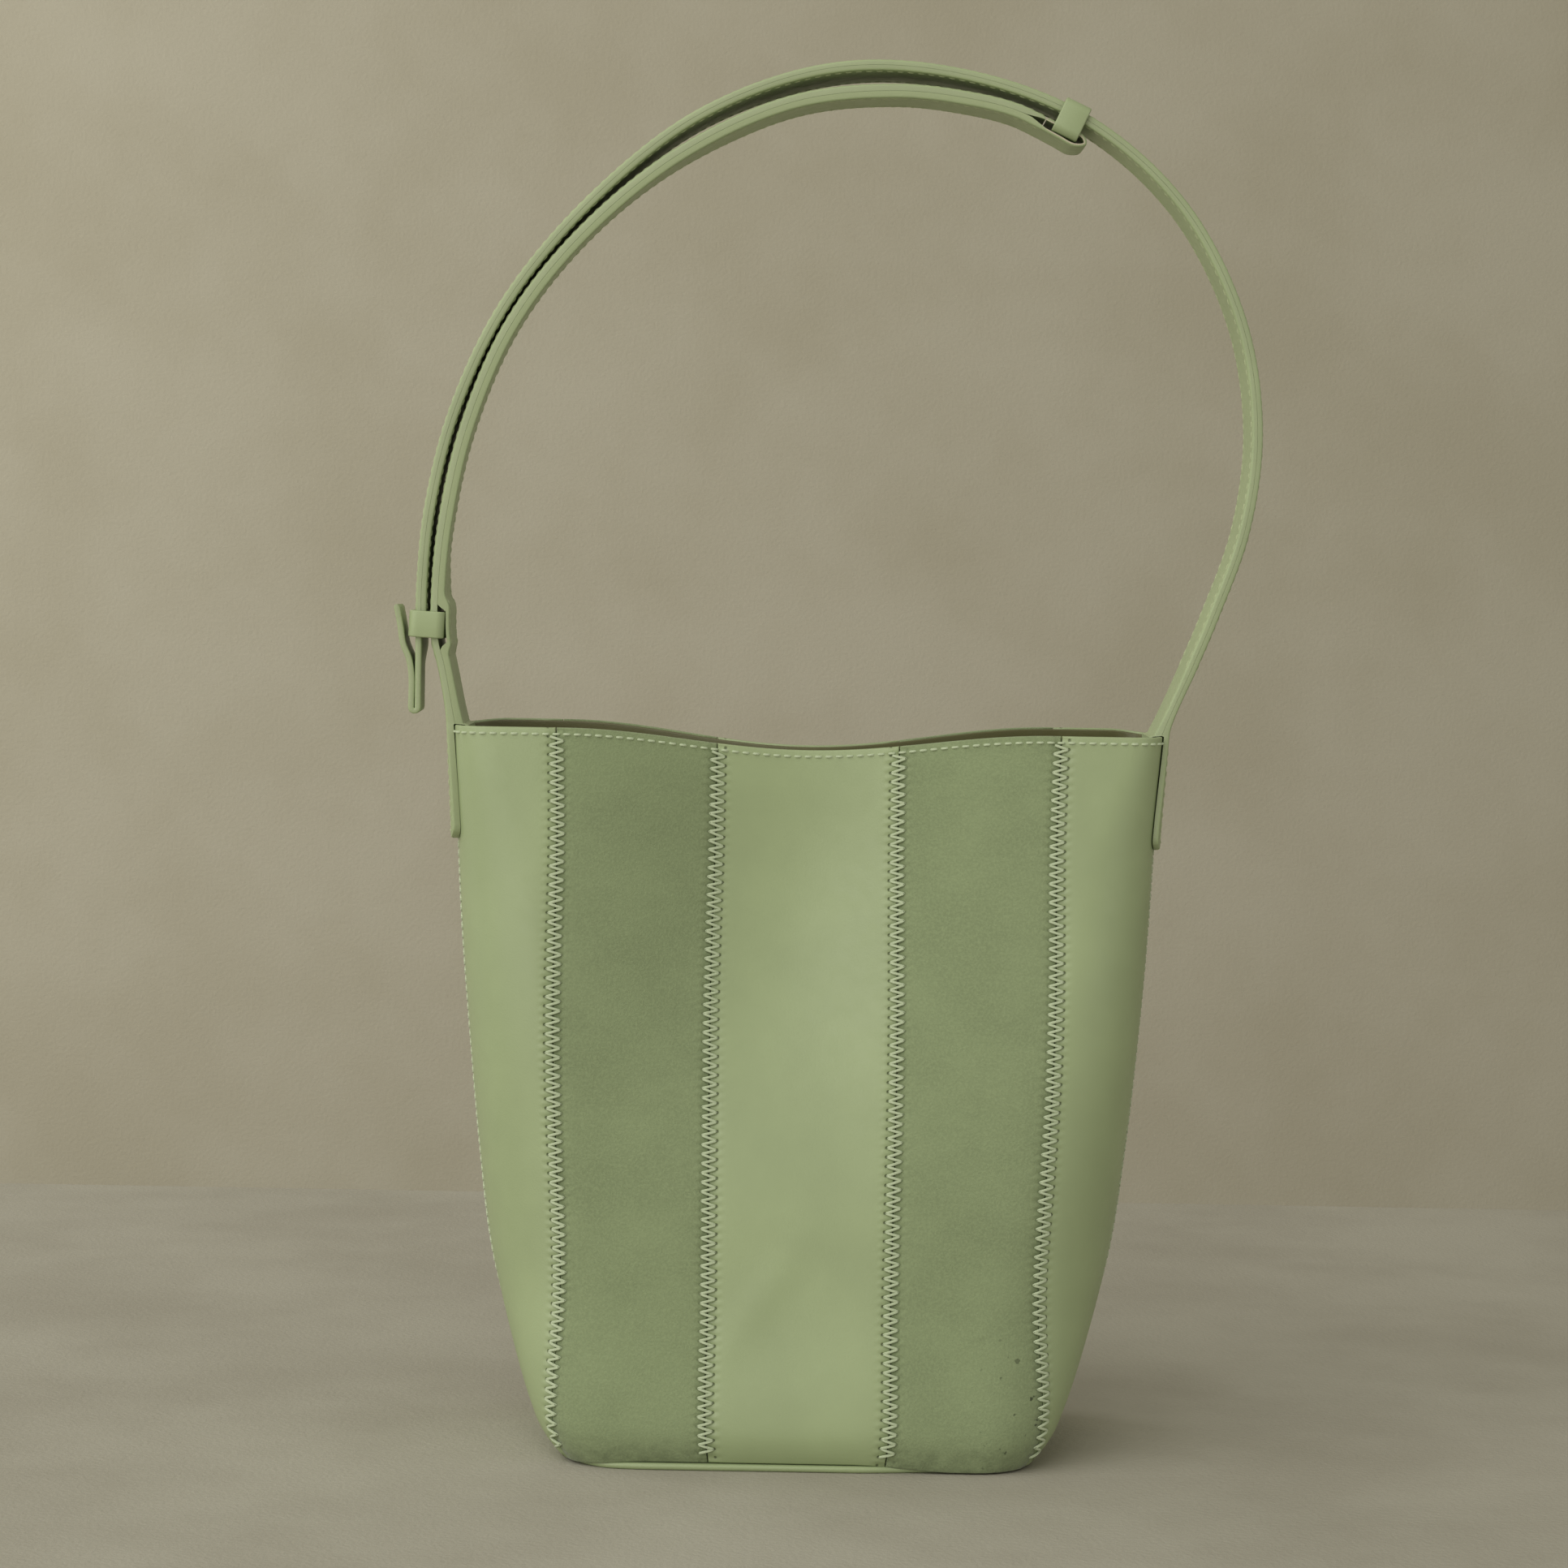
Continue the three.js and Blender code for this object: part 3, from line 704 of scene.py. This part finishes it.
def foot_loop(depth):
    """The wall's lower edge at a depth below its outer surface, and the outward direction."""
    quarter = np.linspace(0, 4, 240, endpoint=False)
    x = surface_point(quarter, 0)[:, 0]
    edge = wall_point(quarter, np.zeros_like(quarter), depth(x))
    outward = edge - wall_point(quarter, np.zeros_like(quarter), depth(x) + 1)
    return edge[:, :2], unit(outward[:, :2])


def add_slab(name, depth, thickness, bottom, rounding, material, slot):
    """A flat piece at the foot of the wall, with rounded edges. depth(x) is measured inwards."""
    loop, outward = foot_loop(depth)
    rings = []
    for angle in np.radians(np.linspace(-90, 90, 9)):
        in_by = rounding * (1 - math.cos(angle))
        lift = thickness / 2 + np.sign(angle) * (thickness / 2 - rounding) + rounding * math.sin(angle)
        ring = np.empty((len(loop), 3))
        ring[:, :2] = loop - outward * in_by
        ring[:, 2] = bottom + lift
        rings.append(ring)
    points = np.concatenate(rings)
    faces = grid_faces(len(rings), len(loop), wrap=True).tolist()
    faces.append(list(range(len(loop))))
    faces.append(list(range(len(points) - len(loop), len(points))))
    settle(add_mesh(f"{name}_visual", points, faces, [material]), slot, name)


def base_depth(x):
    """The base shows as a thin edge in the middle and draws in under the wall at the corners."""
    return -0.8 + 3.0 * towards_corner(x)


def inside_wall(x):
    return LEATHER + 0.4 + 0 * x


BOARD_THICKNESS = 1.8
add_slab("base_panel", base_depth, BASE_THICKNESS, 0, BASE_THICKNESS / 2, plain_leather, "smooth_leather")
add_slab("base_board", inside_wall, BOARD_THICKNESS, WALL_BOTTOM, 0.3, board, "stiffener_board")
add_slab("lining_base", inside_wall, LINING, WALL_BOTTOM + BOARD_THICKNESS + SEAM_GAP, 0.3,
         lining_cloth, "lining_cloth")

# ---- strap, tabs and necks ------------------------------------------------------------------

STRAP_BOTTOM = 240.9
LONG_STRAP_X = -119
LONG_ARCH = [
    (LONG_STRAP_X, 251.7), (LONG_STRAP_X, 262), (-117, 286), (-109.6, 317), (-94.3, 349.9),
    (-67.9, 382.2), (-35.2, 408.2), (3.9, 422.2), (42.5, 421.1), (80.2, 408.3), (110, 383.5),
    (128.7, 349.7), (135, 316), (132, 285), (123, 258), (116.2, STRAP_BOTTOM),
]
SHORT_ARCH = [
    (-112.2, STRAP_BOTTOM), (-113.75, 247), (-113.9, 262), (-112, 283), (-106, 311), (-93, 342.5),
    (-71.9, 370.4), (-41.9, 395.7), (-8, 411.7), (23.8, 415.6), (47.8, 413.2), (59.8, 410.3), (68, 406.7),
]
# The single ply beyond the short strap's end, as (along, outward) from the upper keeper's middle.
END_LOOP = [(-6, -6.3), (-1, -6.5), (4, -6.6), (6.9, -4.8), (5.4, -3.2), (1, -3.1), (-3, -3.1), (-6.8, -3.1)]
TAIL_PLY = 1.85
TAIL_X = LONG_STRAP_X - 0.75
TAIL_BOTTOM = 226
TAIL_FOLD_RADIUS = 1.0
TAIL_OUTSIDE_X = TAIL_X - 2 * TAIL_FOLD_RADIUS
OUTER_TAB_DEPTH = {side: -TAB_GAP - thickness for side, thickness in TAB_THICKNESS.items()}
INNER_TAB_DEPTH = INNER_DEPTH + FACING + TAB_INNER_GAP
PLY_JOINT = 0.01
NECK_FOLD = 1.5          # how far the inner ply folds out over the rim before it rises
NECK_PULL = 12           # how long the neck's curve keeps the direction of its two ends
STRAP_CROWN = 0.25
BOW_PLY = 1.2
BOW_DEPTH = 2.57
STRAP_ACROSS = spaced(STRAP_WIDTH, 2.5, 0.6) - STRAP_WIDTH / 2


def measured(route):
    """Distance along a route of points."""
    return np.concatenate([[0], np.cumsum(np.linalg.norm(np.diff(route, axis=0), axis=1))])


def stations(points, spacing):
    """Evenly spaced points along a route in the XZ plane, and the side that lies on its left."""
    lengths = measured(points)
    wanted = np.linspace(0, lengths[-1], round(lengths[-1] / spacing) + 1)
    route = np.stack([np.interp(wanted, lengths, points[:, axis]) for axis in (0, 1)], axis=-1)
    tangent = unit(np.gradient(route, axis=0))
    return route, np.stack([-tangent[:, 1], tangent[:, 0]], axis=-1)


def long_lean(route):
    """How steeply the long strap leans outwards from its front edge to its back edge."""
    high = smoothstep(route[:, 1], 257, 290)
    left = 0.026 * smoothstep(-route[:, 0], 50, 80) * high
    return left - 0.044 * bell(route[:, 0], -2, 42) * high


def short_lean(route):
    return 0.052 * smoothstep(-route[:, 0], 20, 70) * smoothstep(route[:, 1], 257, 276)


def flat_face(route, outward, offset, crown=0.0, lean=0.0):
    """A face of a flat ply: the route moved by offset, drawn out along Y, crowned in the middle."""
    dome = crown * (1 - (STRAP_ACROSS / (STRAP_WIDTH / 2)) ** 2)
    leaning = np.broadcast_to(lean, len(route))[:, None] * (STRAP_ACROSS + STRAP_WIDTH / 2)
    away = np.broadcast_to(offset, len(route))[:, None] + leaning + dome
    face = np.empty((len(route), len(STRAP_ACROSS), 3))
    face[..., 0] = route[:, :1] + outward[:, :1] * away
    face[..., 1] = STRAP_ACROSS
    face[..., 2] = route[:, 1:] + outward[:, 1:] * away
    return face


def tab_face(side, depth, bottom, rows=14, corner=4.0):
    """A face of the sewn tab, from its rounded lower end up to the rim."""
    centre, sign = (1, 1) if side == "right" else (3, -1)
    quarter = centre + sign * STRAP_ACROSS / quarter_length(BAG_HEIGHT)
    beyond = np.clip(np.abs(STRAP_ACROSS) - (STRAP_WIDTH / 2 - corner), 0, corner)
    low = bottom + corner - np.sqrt(corner**2 - beyond**2)
    share = np.concatenate([[0, 0.01, 0.03], np.linspace(0.06, 1, rows)])[:, None]
    height = low + (BAG_HEIGHT - low) * share
    return wall_point(np.broadcast_to(quarter, height.shape), rise_at(height), depth)


NECK_SHARE = (np.arange(1, 20)[:, None, None] / 20) ** 1.5


def neck_face(rim_row, strap_row, leave, arrive):
    """A face of the flexible neck, from the rim up to the strap's first station."""
    t = NECK_SHARE
    return (
        (2 * t**3 - 3 * t**2 + 1) * rim_row + (t**3 - 2 * t**2 + t) * leave
        + (3 * t**2 - 2 * t**3) * strap_row + (t**3 - t**2) * arrive)


def both_plies(side, route, outward, half, lean, joint_bow=0.0, inner_bow=0.0, taper=0.0):
    """The faces of a two-ply strap, each from its sewn tab over the neck and along the strap:
    the outer ply's outer and inner face, then the inner ply's. The plies close on each other just
    above the rim. The bows say how far the inner ply's faces stand off, from 0 to 1, and taper how
    much is skived off the outer ply's inner face."""
    sign = 1 if side == "right" else -1
    straps = [
        flat_face(route, outward, half, STRAP_CROWN, lean),
        flat_face(route, outward, PLY_JOINT + taper, 0, lean),
        flat_face(route, outward, -PLY_JOINT - joint_bow * BOW_DEPTH, 0, lean),
        flat_face(route, outward, -half - inner_bow * (BOW_DEPTH + BOW_PLY - half), 0, lean),
    ]
    depths = (OUTER_TAB_DEPTH[side], -TAB_GAP, INNER_TAB_DEPTH, INNER_TAB_DEPTH + TAB_INNER_THICKNESS)
    bottoms = (TAB_BOTTOM, TAB_BOTTOM, TAB_INNER_BOTTOM, TAB_INNER_BOTTOM)
    along = unit(route[1] - route[0])
    arrive = NECK_PULL * np.array([along[0], 0, along[1]])
    tabs = [tab_face(side, depth, bottom) for depth, bottom in zip(depths, bottoms)]
    upwards = [np.array([0, 0, NECK_PULL])] * 2
    leaves = upwards + [strap[0] - tab[-1] for strap, tab in zip(straps[2:], tabs[2:])]
    starts = [tabs[0][-1], tabs[1][-1], *(tab[-1] + np.array([sign * NECK_FOLD, 0, 0.2]) for tab in tabs[2:])]
    necks = [neck_face(start, strap[0], leave, arrive) for start, strap, leave in zip(starts, straps, leaves)]
    closed = 1 - smoothstep(NECK_SHARE, 0.8, 1)
    middle = (necks[0] + necks[3]) / 2
    for ply, side_of_joint in ((1, 1), (2, -1)):
        joint = middle + np.array([side_of_joint * sign * PLY_JOINT, 0, 0])
        necks[ply] = necks[ply] + (joint - necks[ply]) * closed
    return [np.concatenate(parts) for parts in zip(tabs, necks, straps)]


def add_ply(name, outer, inner, joint_inside, slot, nodes, body, edge=cut_edge):
    """One ply. Its borders are rounded outside and left nearly square where it meets the other."""
    rounding = (0.6, 0.03) if joint_inside else (0.03, 0.6)
    along = measured(outer[:, outer.shape[1] // 2])[:, None]
    ply = add_sheet(name, outer, inner, STRAP_ACROSS[None], along, [plain_leather, edge], rounding)
    settle(ply, slot, *nodes, body=body)


long_route, long_out = stations(smooth_curve(LONG_ARCH)[::-1], 3.0)
long_out = -long_out
short_route, short_out = stations(smooth_curve(SHORT_ARCH), 1.0)


def bow_beside_keeper(route, start, full, leave, end):
    """From 0 to 1, how far the short strap's inner ply stands off beside the lower keeper."""
    rising = smoothstep(route[:, 1], start, full)
    falling = smoothstep(route[:, 1], leave, end)
    return np.where(route[:, 0] > 0, 0, rising * (1 - falling))


JOINT_BOW = bow_beside_keeper(short_route, 244.0, 245.8, 255.8, 257.4)
INNER_BOW = bow_beside_keeper(short_route, 241.4, 245.2, 256.6, 261.5)


def end_loop():
    """The stations of the end loop."""
    along, out = np.array(END_LOOP).T
    cos, sin = math.cos(UPPER_KEEPER_TILT), math.sin(UPPER_KEEPER_TILT)
    x = UPPER_KEEPER[0] + along * cos + out * sin
    z = UPPER_KEEPER[2] - along * sin + out * cos
    return stations(smooth_curve(np.stack([x, z], axis=-1)), 0.9)


def add_long_strap():
    faces = both_plies("right", long_route, long_out, LONG_HALF, long_lean(long_route))
    add_ply("long_strap_outer_visual", *faces[:2], True, "strap_leather",
            ("long_strap_outer_ply", "right_tab_outer"), "neck")
    add_ply("long_strap_inner_visual", *faces[2:], False, "strap_leather",
            ("long_strap_inner_ply", "right_tab_inner"), "neck")


def add_short_strap():
    """The inner ply goes on beyond the strap's end as a thin loop round the upper keeper."""
    to_end = measured(short_route)[-1] - measured(short_route)
    taper = (SHORT_HALF - LOOP_PLY) * smoothstep(-to_end, -7, 0)
    faces = both_plies("left", short_route, short_out, SHORT_HALF, short_lean(short_route),
                       JOINT_BOW, INNER_BOW, taper)
    add_ply("short_strap_outer_visual", *faces[:2], True, "strap_leather",
            ("short_strap_outer_ply", "left_tab_outer"), "neck")
    loop_route, loop_out = end_loop()
    shortened = slice(0, -4)
    outer = np.concatenate([faces[2][shortened], flat_face(loop_route, loop_out, LOOP_PLY / 2)])
    inner = np.concatenate([faces[3][shortened], flat_face(loop_route, loop_out, -LOOP_PLY / 2)])
    add_ply("short_strap_inner_visual", outer, inner, False, "strap_leather",
            ("short_strap_inner_ply", "short_strap_filler", "left_tab_inner"), "neck", raw_edge)


def add_tail():
    """The long strap's outer ply goes on through the lower keeper and folds back up outside it."""
    turn = np.radians(np.linspace(0, -180, 15))
    fold = np.stack([TAIL_X - TAIL_FOLD_RADIUS + TAIL_FOLD_RADIUS * np.cos(turn),
                     TAIL_BOTTOM + TAIL_FOLD_RADIUS * np.sin(turn)], axis=-1)
    down = smooth_curve([(TAIL_X, 251.4), (TAIL_X, 240), (TAIL_X, TAIL_BOTTOM)])
    up = smooth_curve([(TAIL_OUTSIDE_X, TAIL_BOTTOM), (TAIL_OUTSIDE_X, 236), (-122.6, 241), (-124.4, 245.5),
                       (-125.3, 251), (-126.6, 257.5)])
    route, out = stations(np.concatenate([down[:-1], fold, up[1:]]), 0.7)
    below_keeper = 1 - smoothstep(route[:, 1], 238, 246)
    lean = np.where(route[:, 0] < TAIL_X - TAIL_FOLD_RADIUS, -0.04, -0.04 * below_keeper)
    ply = add_sheet("long_strap_tail_visual", flat_face(route, out, TAIL_PLY / 2, 0, lean * out[:, 0]),
                    flat_face(route, out, -TAIL_PLY / 2, 0, lean * out[:, 0]), STRAP_ACROSS[None],
                    measured(route)[:, None], [plain_leather, cut_edge], (0.5, 0.5))
    settle(ply, "strap_leather", body="strap")


add_long_strap()
add_short_strap()
add_tail()

# ---- keepers --------------------------------------------------------------------------------


def band_section(half_wall, half_length, radius):
    """The rounded rectangle that a band's wall shows when it is cut across."""
    section = []
    for corner, (sign_n, sign_z) in enumerate(((1, 1), (-1, 1), (-1, -1), (1, -1))):
        for angle in np.radians(90 * corner + np.linspace(0, 90, 4)):
            section.append((sign_n * (half_wall - radius) + radius * math.cos(angle),
                            sign_z * (half_length - radius) + radius * math.sin(angle)))
    return np.array(section)


def add_keeper(name, width, length, centre, tilt):
    """A leather band with softened edges and slightly bulging sides."""
    loop, outward = rounded_loop(width - KEEPER_WALL, KEEPER_DEPTH - KEEPER_WALL, KEEPER_CORNER)
    bulge = KEEPER_BULGE * np.cos(np.pi * loop[:, 1] / KEEPER_DEPTH) * (np.abs(outward[:, 0]) > 0.9)
    loop = loop + outward * bulge[:, None]
    section = band_section(KEEPER_WALL / 2, length / 2, 0.45)
    points = np.empty((len(loop), len(section), 3))
    points[..., :2] = loop[:, None] + outward[:, None] * section[None, :, :1]
    points[..., 2] = section[:, 1]
    count = len(section)
    faces = grid_faces(len(loop), count, wrap=True)
    around = np.arange(count)
    following = (around + 1) % count
    last = (len(loop) - 1) * count
    joined = np.stack([last + around, around, following, last + following], axis=-1)
    faces = np.concatenate([faces, joined])
    turn = np.array(Matrix.Rotation(tilt, 3, "Y"))
    band = add_mesh(f"{name}_visual", points.reshape(-1, 3) @ turn.T + centre, faces, [plain_leather])
    settle(band, "strap_leather", name, body=name)


add_keeper("keeper_lower", LOWER_KEEPER_WIDTH, LOWER_KEEPER_LENGTH, LOWER_KEEPER, LOWER_KEEPER_TILT)
add_keeper("keeper_upper", UPPER_KEEPER_WIDTH, UPPER_KEEPER_LENGTH, UPPER_KEEPER,
           UPPER_KEEPER_TILT + math.pi / 2)

# ---- stitching ------------------------------------------------------------------------------

DASH = np.array([-0.5, -0.42, -0.28, 0, 0.28, 0.42, 0.5])
DASH_LIFT = np.array([-0.35, 0.0, 0.2, 0.27, 0.2, 0.0, -0.35])


def dash_paths(place, length, lift=1.0):
    """Short raised stitches along a line. place(distance, lift) gives the points."""
    count = int((length - RIM_PITCH) // RIM_PITCH) + 1
    middles = length / 2 + RIM_PITCH * (np.arange(count) - (count - 1) / 2)
    distance = middles[:, None] + STITCH_LENGTH * DASH
    raised = np.broadcast_to(DASH_LIFT * lift - (1 - lift) * 0.12, distance.shape)
    paths = place(distance, raised)
    return paths, unit(place(distance, raised + 0.5) - paths)


def add_zigzags(name, turns_and_seams):
    """Zigzag thread over each of these seams, from the base to the rim."""
    stroke = np.array([0.0, 0.1, 0.3, 0.5, 0.7, 0.9])
    reach = np.array([-1, -0.86, -0.45, 0, 0.45, 0.86]) * ZIGZAG_REACH
    lift = np.array([-0.4, 0.2, 0.42, 0.46, 0.42, 0.2])
    half = ZIGZAG_PITCH / 2
    first = math.ceil((WALL_BOTTOM + 0.6) / ZIGZAG_PITCH)
    last = math.floor((BAG_HEIGHT - 1.2) / ZIGZAG_PITCH)
    strokes = np.arange(2 * (last - first))
    forth = np.where(strokes % 2 == 0, 1, -1)[:, None]
    height = (first * ZIGZAG_PITCH + (strokes[:, None] + stroke) * half).ravel()
    aside = (forth * reach).ravel()
    raised = np.tile(lift, len(strokes))
    paths, normals = [], []
    for turn, seam in turns_and_seams:
        quarter = turn + seam(height) + aside / quarter_length(height)
        path = wall_point(quarter, rise_at(height), -raised)
        paths.append(path)
        normals.append(unit(wall_point(quarter, rise_at(height), -raised - 1) - path))
    made = add_tubes(name, np.array(paths), np.array(normals), THREAD_RADIUS, [thread])
    settle(made, "smooth_leather")


def rim_stitches(side, depth, below, sign):
    """Stitches along the rim of one side. sign is 1 for outside and -1 for the facing's face."""
    length = 2 * float(quarter_length(BAG_HEIGHT)) - 8

    def place(distance, lift):
        quarter = TURN[side] + (distance - length / 2) / quarter_length(BAG_HEIGHT)
        return wall_point(quarter, np.full_like(distance, rise_at(BAG_HEIGHT - below)), depth - sign * lift)

    return dash_paths(place, length)


def tab_stitches(side, depth, bottom, sign):
    """Stitches round the four sides of a tab, a little in from its edge."""
    inset = 2.4
    half = STRAP_WIDTH / 2 - inset
    low, high = bottom + inset, BAG_HEIGHT - 3
    centre, direction = (1, 1) if side == "right" else (3, -1)

    def at(y, height, lift):
        quarter = centre + direction * y / quarter_length(BAG_HEIGHT)
        return wall_point(quarter, rise_at(height), depth - sign * lift)

    upright = [dash_paths(lambda d, lift, y=y: at(np.full_like(d, y), low + d, lift), high - low, 0.4)
               for y in (-half, half)]
    level = [dash_paths(lambda d, lift, z=z: at(d - half, np.full_like(d, z), lift), 2 * half, 0.4)
             for z in (low, high)]
    return upright + level


def strap_stitches(route, outward, offset, lean, sign):
    """Two rows of stitches pulled down into a flat face of a strap."""
    lengths = measured(route)
    offset = np.broadcast_to(offset, len(route))
    edge = STRAP_WIDTH / 2 - 2.2

    def place(y, distance, lift):
        leaning = np.interp(distance, lengths, lean) * (y + STRAP_WIDTH / 2)
        away = np.interp(distance, lengths, offset) + leaning + sign * lift
        x = np.interp(distance, lengths, route[:, 0]) + np.interp(distance, lengths, outward[:, 0]) * away
        z = np.interp(distance, lengths, route[:, 1]) + np.interp(distance, lengths, outward[:, 1]) * away
        return np.stack([x, np.full_like(distance, y), z], axis=-1)

    return [dash_paths(lambda d, lift, y=y: place(y, d, lift), lengths[-1], 0.3) for y in (-edge, edge)]


def add_dashes(name, runs, material, radius=STRAP_THREAD_RADIUS, slot="smooth_leather", body="root"):
    paths = np.concatenate([run[0] for run in runs])
    normals = np.concatenate([run[1] for run in runs])
    settle(add_tubes(name, paths, normals, radius, [material]), slot, body=body)


def add_strap_thread(name, route, outward, lean, faces):
    """The stitches in both faces of a strap. faces holds each face's offset and its sign."""
    runs = [run for offset, sign in faces for run in strap_stitches(route, outward, offset, lean, sign)]
    add_dashes(name, runs, strap_thread, slot="strap_leather", body="neck")


for side in STRIPES:
    add_zigzags(f"{side}_seam_thread", [(TURN[side], SEAMS[k]) for k in range(1, 5)])
    add_dashes(f"{side}_rim_thread", [
        rim_stitches(side, 0, RIM_ROW, 1), rim_stitches(side, INNER_DEPTH + FACING, FACING_ROW, -1)],
        thread, RIM_THREAD_RADIUS)
add_zigzags("side_seam_thread", [(0, SEAMS[0]), (0, SEAMS[-1])])
for side in ("left", "right"):
    add_dashes(f"{side}_tab_thread", [
        *tab_stitches(side, OUTER_TAB_DEPTH[side], TAB_BOTTOM, 1),
        *tab_stitches(side, INNER_TAB_DEPTH + TAB_INNER_THICKNESS, TAB_INNER_BOTTOM, -1)], strap_thread)
add_strap_thread("long_strap_thread", long_route, long_out, long_lean(long_route),
                 ((LONG_HALF + 0.08, 1), (-LONG_HALF, -1)))
inner_face = -SHORT_HALF - INNER_BOW * (BOW_DEPTH + BOW_PLY - SHORT_HALF)
add_strap_thread("short_strap_thread", short_route, short_out, short_lean(short_route),
                 ((SHORT_HALF + 0.08, 1), (inner_face, -1)))

# ---- magnetic snap --------------------------------------------------------------------------


def add_snap_half(name, faces_back, recess):
    """One slim half of the snap. recess is how far its middle sinks (or stands out, if negative)."""
    gap, thick, soft = 0.15, 1.6, 0.3
    inner = SNAP_RADIUS * 0.6
    outline = [
        (0, gap + recess), (inner, gap + recess), (inner + soft, gap), (SNAP_RADIUS - soft, gap),
        (SNAP_RADIUS, gap + soft), (SNAP_RADIUS, gap + thick - soft), (SNAP_RADIUS - soft, gap + thick),
        (0, gap + thick),
    ]
    sign = -1 if faces_back else 1

    def place(points):
        return np.stack([points[:, 0], sign * points[:, 2], SNAP_HEIGHT + points[:, 1]], axis=-1)

    settle(add_turned(f"{name}_visual", outline, place, [nickel]), "snap_metal", name)


add_snap_half("snap_socket", False, 0.6)
add_snap_half("snap_stud", True, -0.1)

# ---- stage, light and camera ----------------------------------------------------------------


def add_stage():
    """A pale table with a rounded far edge, and a wall well behind it."""
    table = stage_material("table_cloth", colour(182, 179, 165), colour(168, 164, 150), 9, 0.3)
    wall = stage_material("wall_canvas", colour(186, 181, 163), colour(176, 170, 150), 6, 0.4)
    far, near, half, edge = 473, -2600, 2400, 12
    turn = np.radians(np.linspace(90, 0, 8))
    rows = [(near, 0), *zip(far - edge + edge * np.cos(turn), edge * (np.sin(turn) - 1)), (far, -700)]
    points = [(x, y, z) for y, z in rows for x in (-half, half)]
    floor = add_mesh("table", points, grid_faces(len(rows), 2), [table])
    corners = [(-3200, 1750, -900), (3200, 1750, -900), (-3200, 1750, 2600), (3200, 1750, 2600)]
    backdrop = add_mesh("backdrop", corners, grid_faces(2, 2), [wall])


def add_light(name, position, target, size, power, tint):
    lamp = bpy.data.lights.new(name, "AREA")
    lamp.shape = "RECTANGLE"
    lamp.size, lamp.size_y = size
    lamp.energy = power
    lamp.color = tint
    thing = bpy.data.objects.new(name, lamp)
    thing.location = position
    thing.rotation_mode = "QUATERNION"
    thing.rotation_quaternion = (Vector(target) - Vector(position)).to_track_quat("-Z", "Y")
    bpy.context.scene.collection.objects.link(thing)


def add_lights():
    add_light("key", (-1.3, -1.5, 1.5), (0, 0, 0.2), (3.4, 3.4), 54, (1.0, 0.985, 0.95))
    add_light("fill", (1.5, -1.2, 0.5), (0, 0, 0.2), (1.4, 1.2), 3, (0.98, 0.99, 1.0))
    add_light("wall_wash", (-1.7, 0.8, 0.7), (-0.8, 1.75, 0), (1.2, 1.2), 10, (1.0, 0.99, 0.98))
    world = bpy.data.worlds.new("room")
    world.use_nodes = True
    world.node_tree.nodes["Background"].inputs["Color"].default_value = colour(188, 184, 172)
    world.node_tree.nodes["Background"].inputs["Strength"].default_value = 0.7
    bpy.context.scene.world = world


FIELD_OF_VIEW = math.radians(22.81)
CAMERA_PLACE = (-7.3, -1200, 271)
CAMERA_DIP = math.radians(3.2)
CAMERA_ROLL = math.radians(1.0)


def add_camera():
    """Nearly level, a little above the rim, and slightly rolled."""
    lens = bpy.data.cameras.new("camera")
    lens.sensor_width = 36
    lens.angle = FIELD_OF_VIEW
    camera = bpy.data.objects.new("camera", lens)
    look = Matrix.Rotation(math.pi / 2 - CAMERA_DIP, 4, "X") @ Matrix.Rotation(CAMERA_ROLL, 4, "Z")
    camera.matrix_world = Matrix.Translation(Vector(CAMERA_PLACE) * MM) @ look
    bpy.context.scene.collection.objects.link(camera)
    bpy.context.scene.camera = camera
    bpy.context.scene.view_settings.view_transform = "Standard"


add_stage()
add_lights()
add_camera()
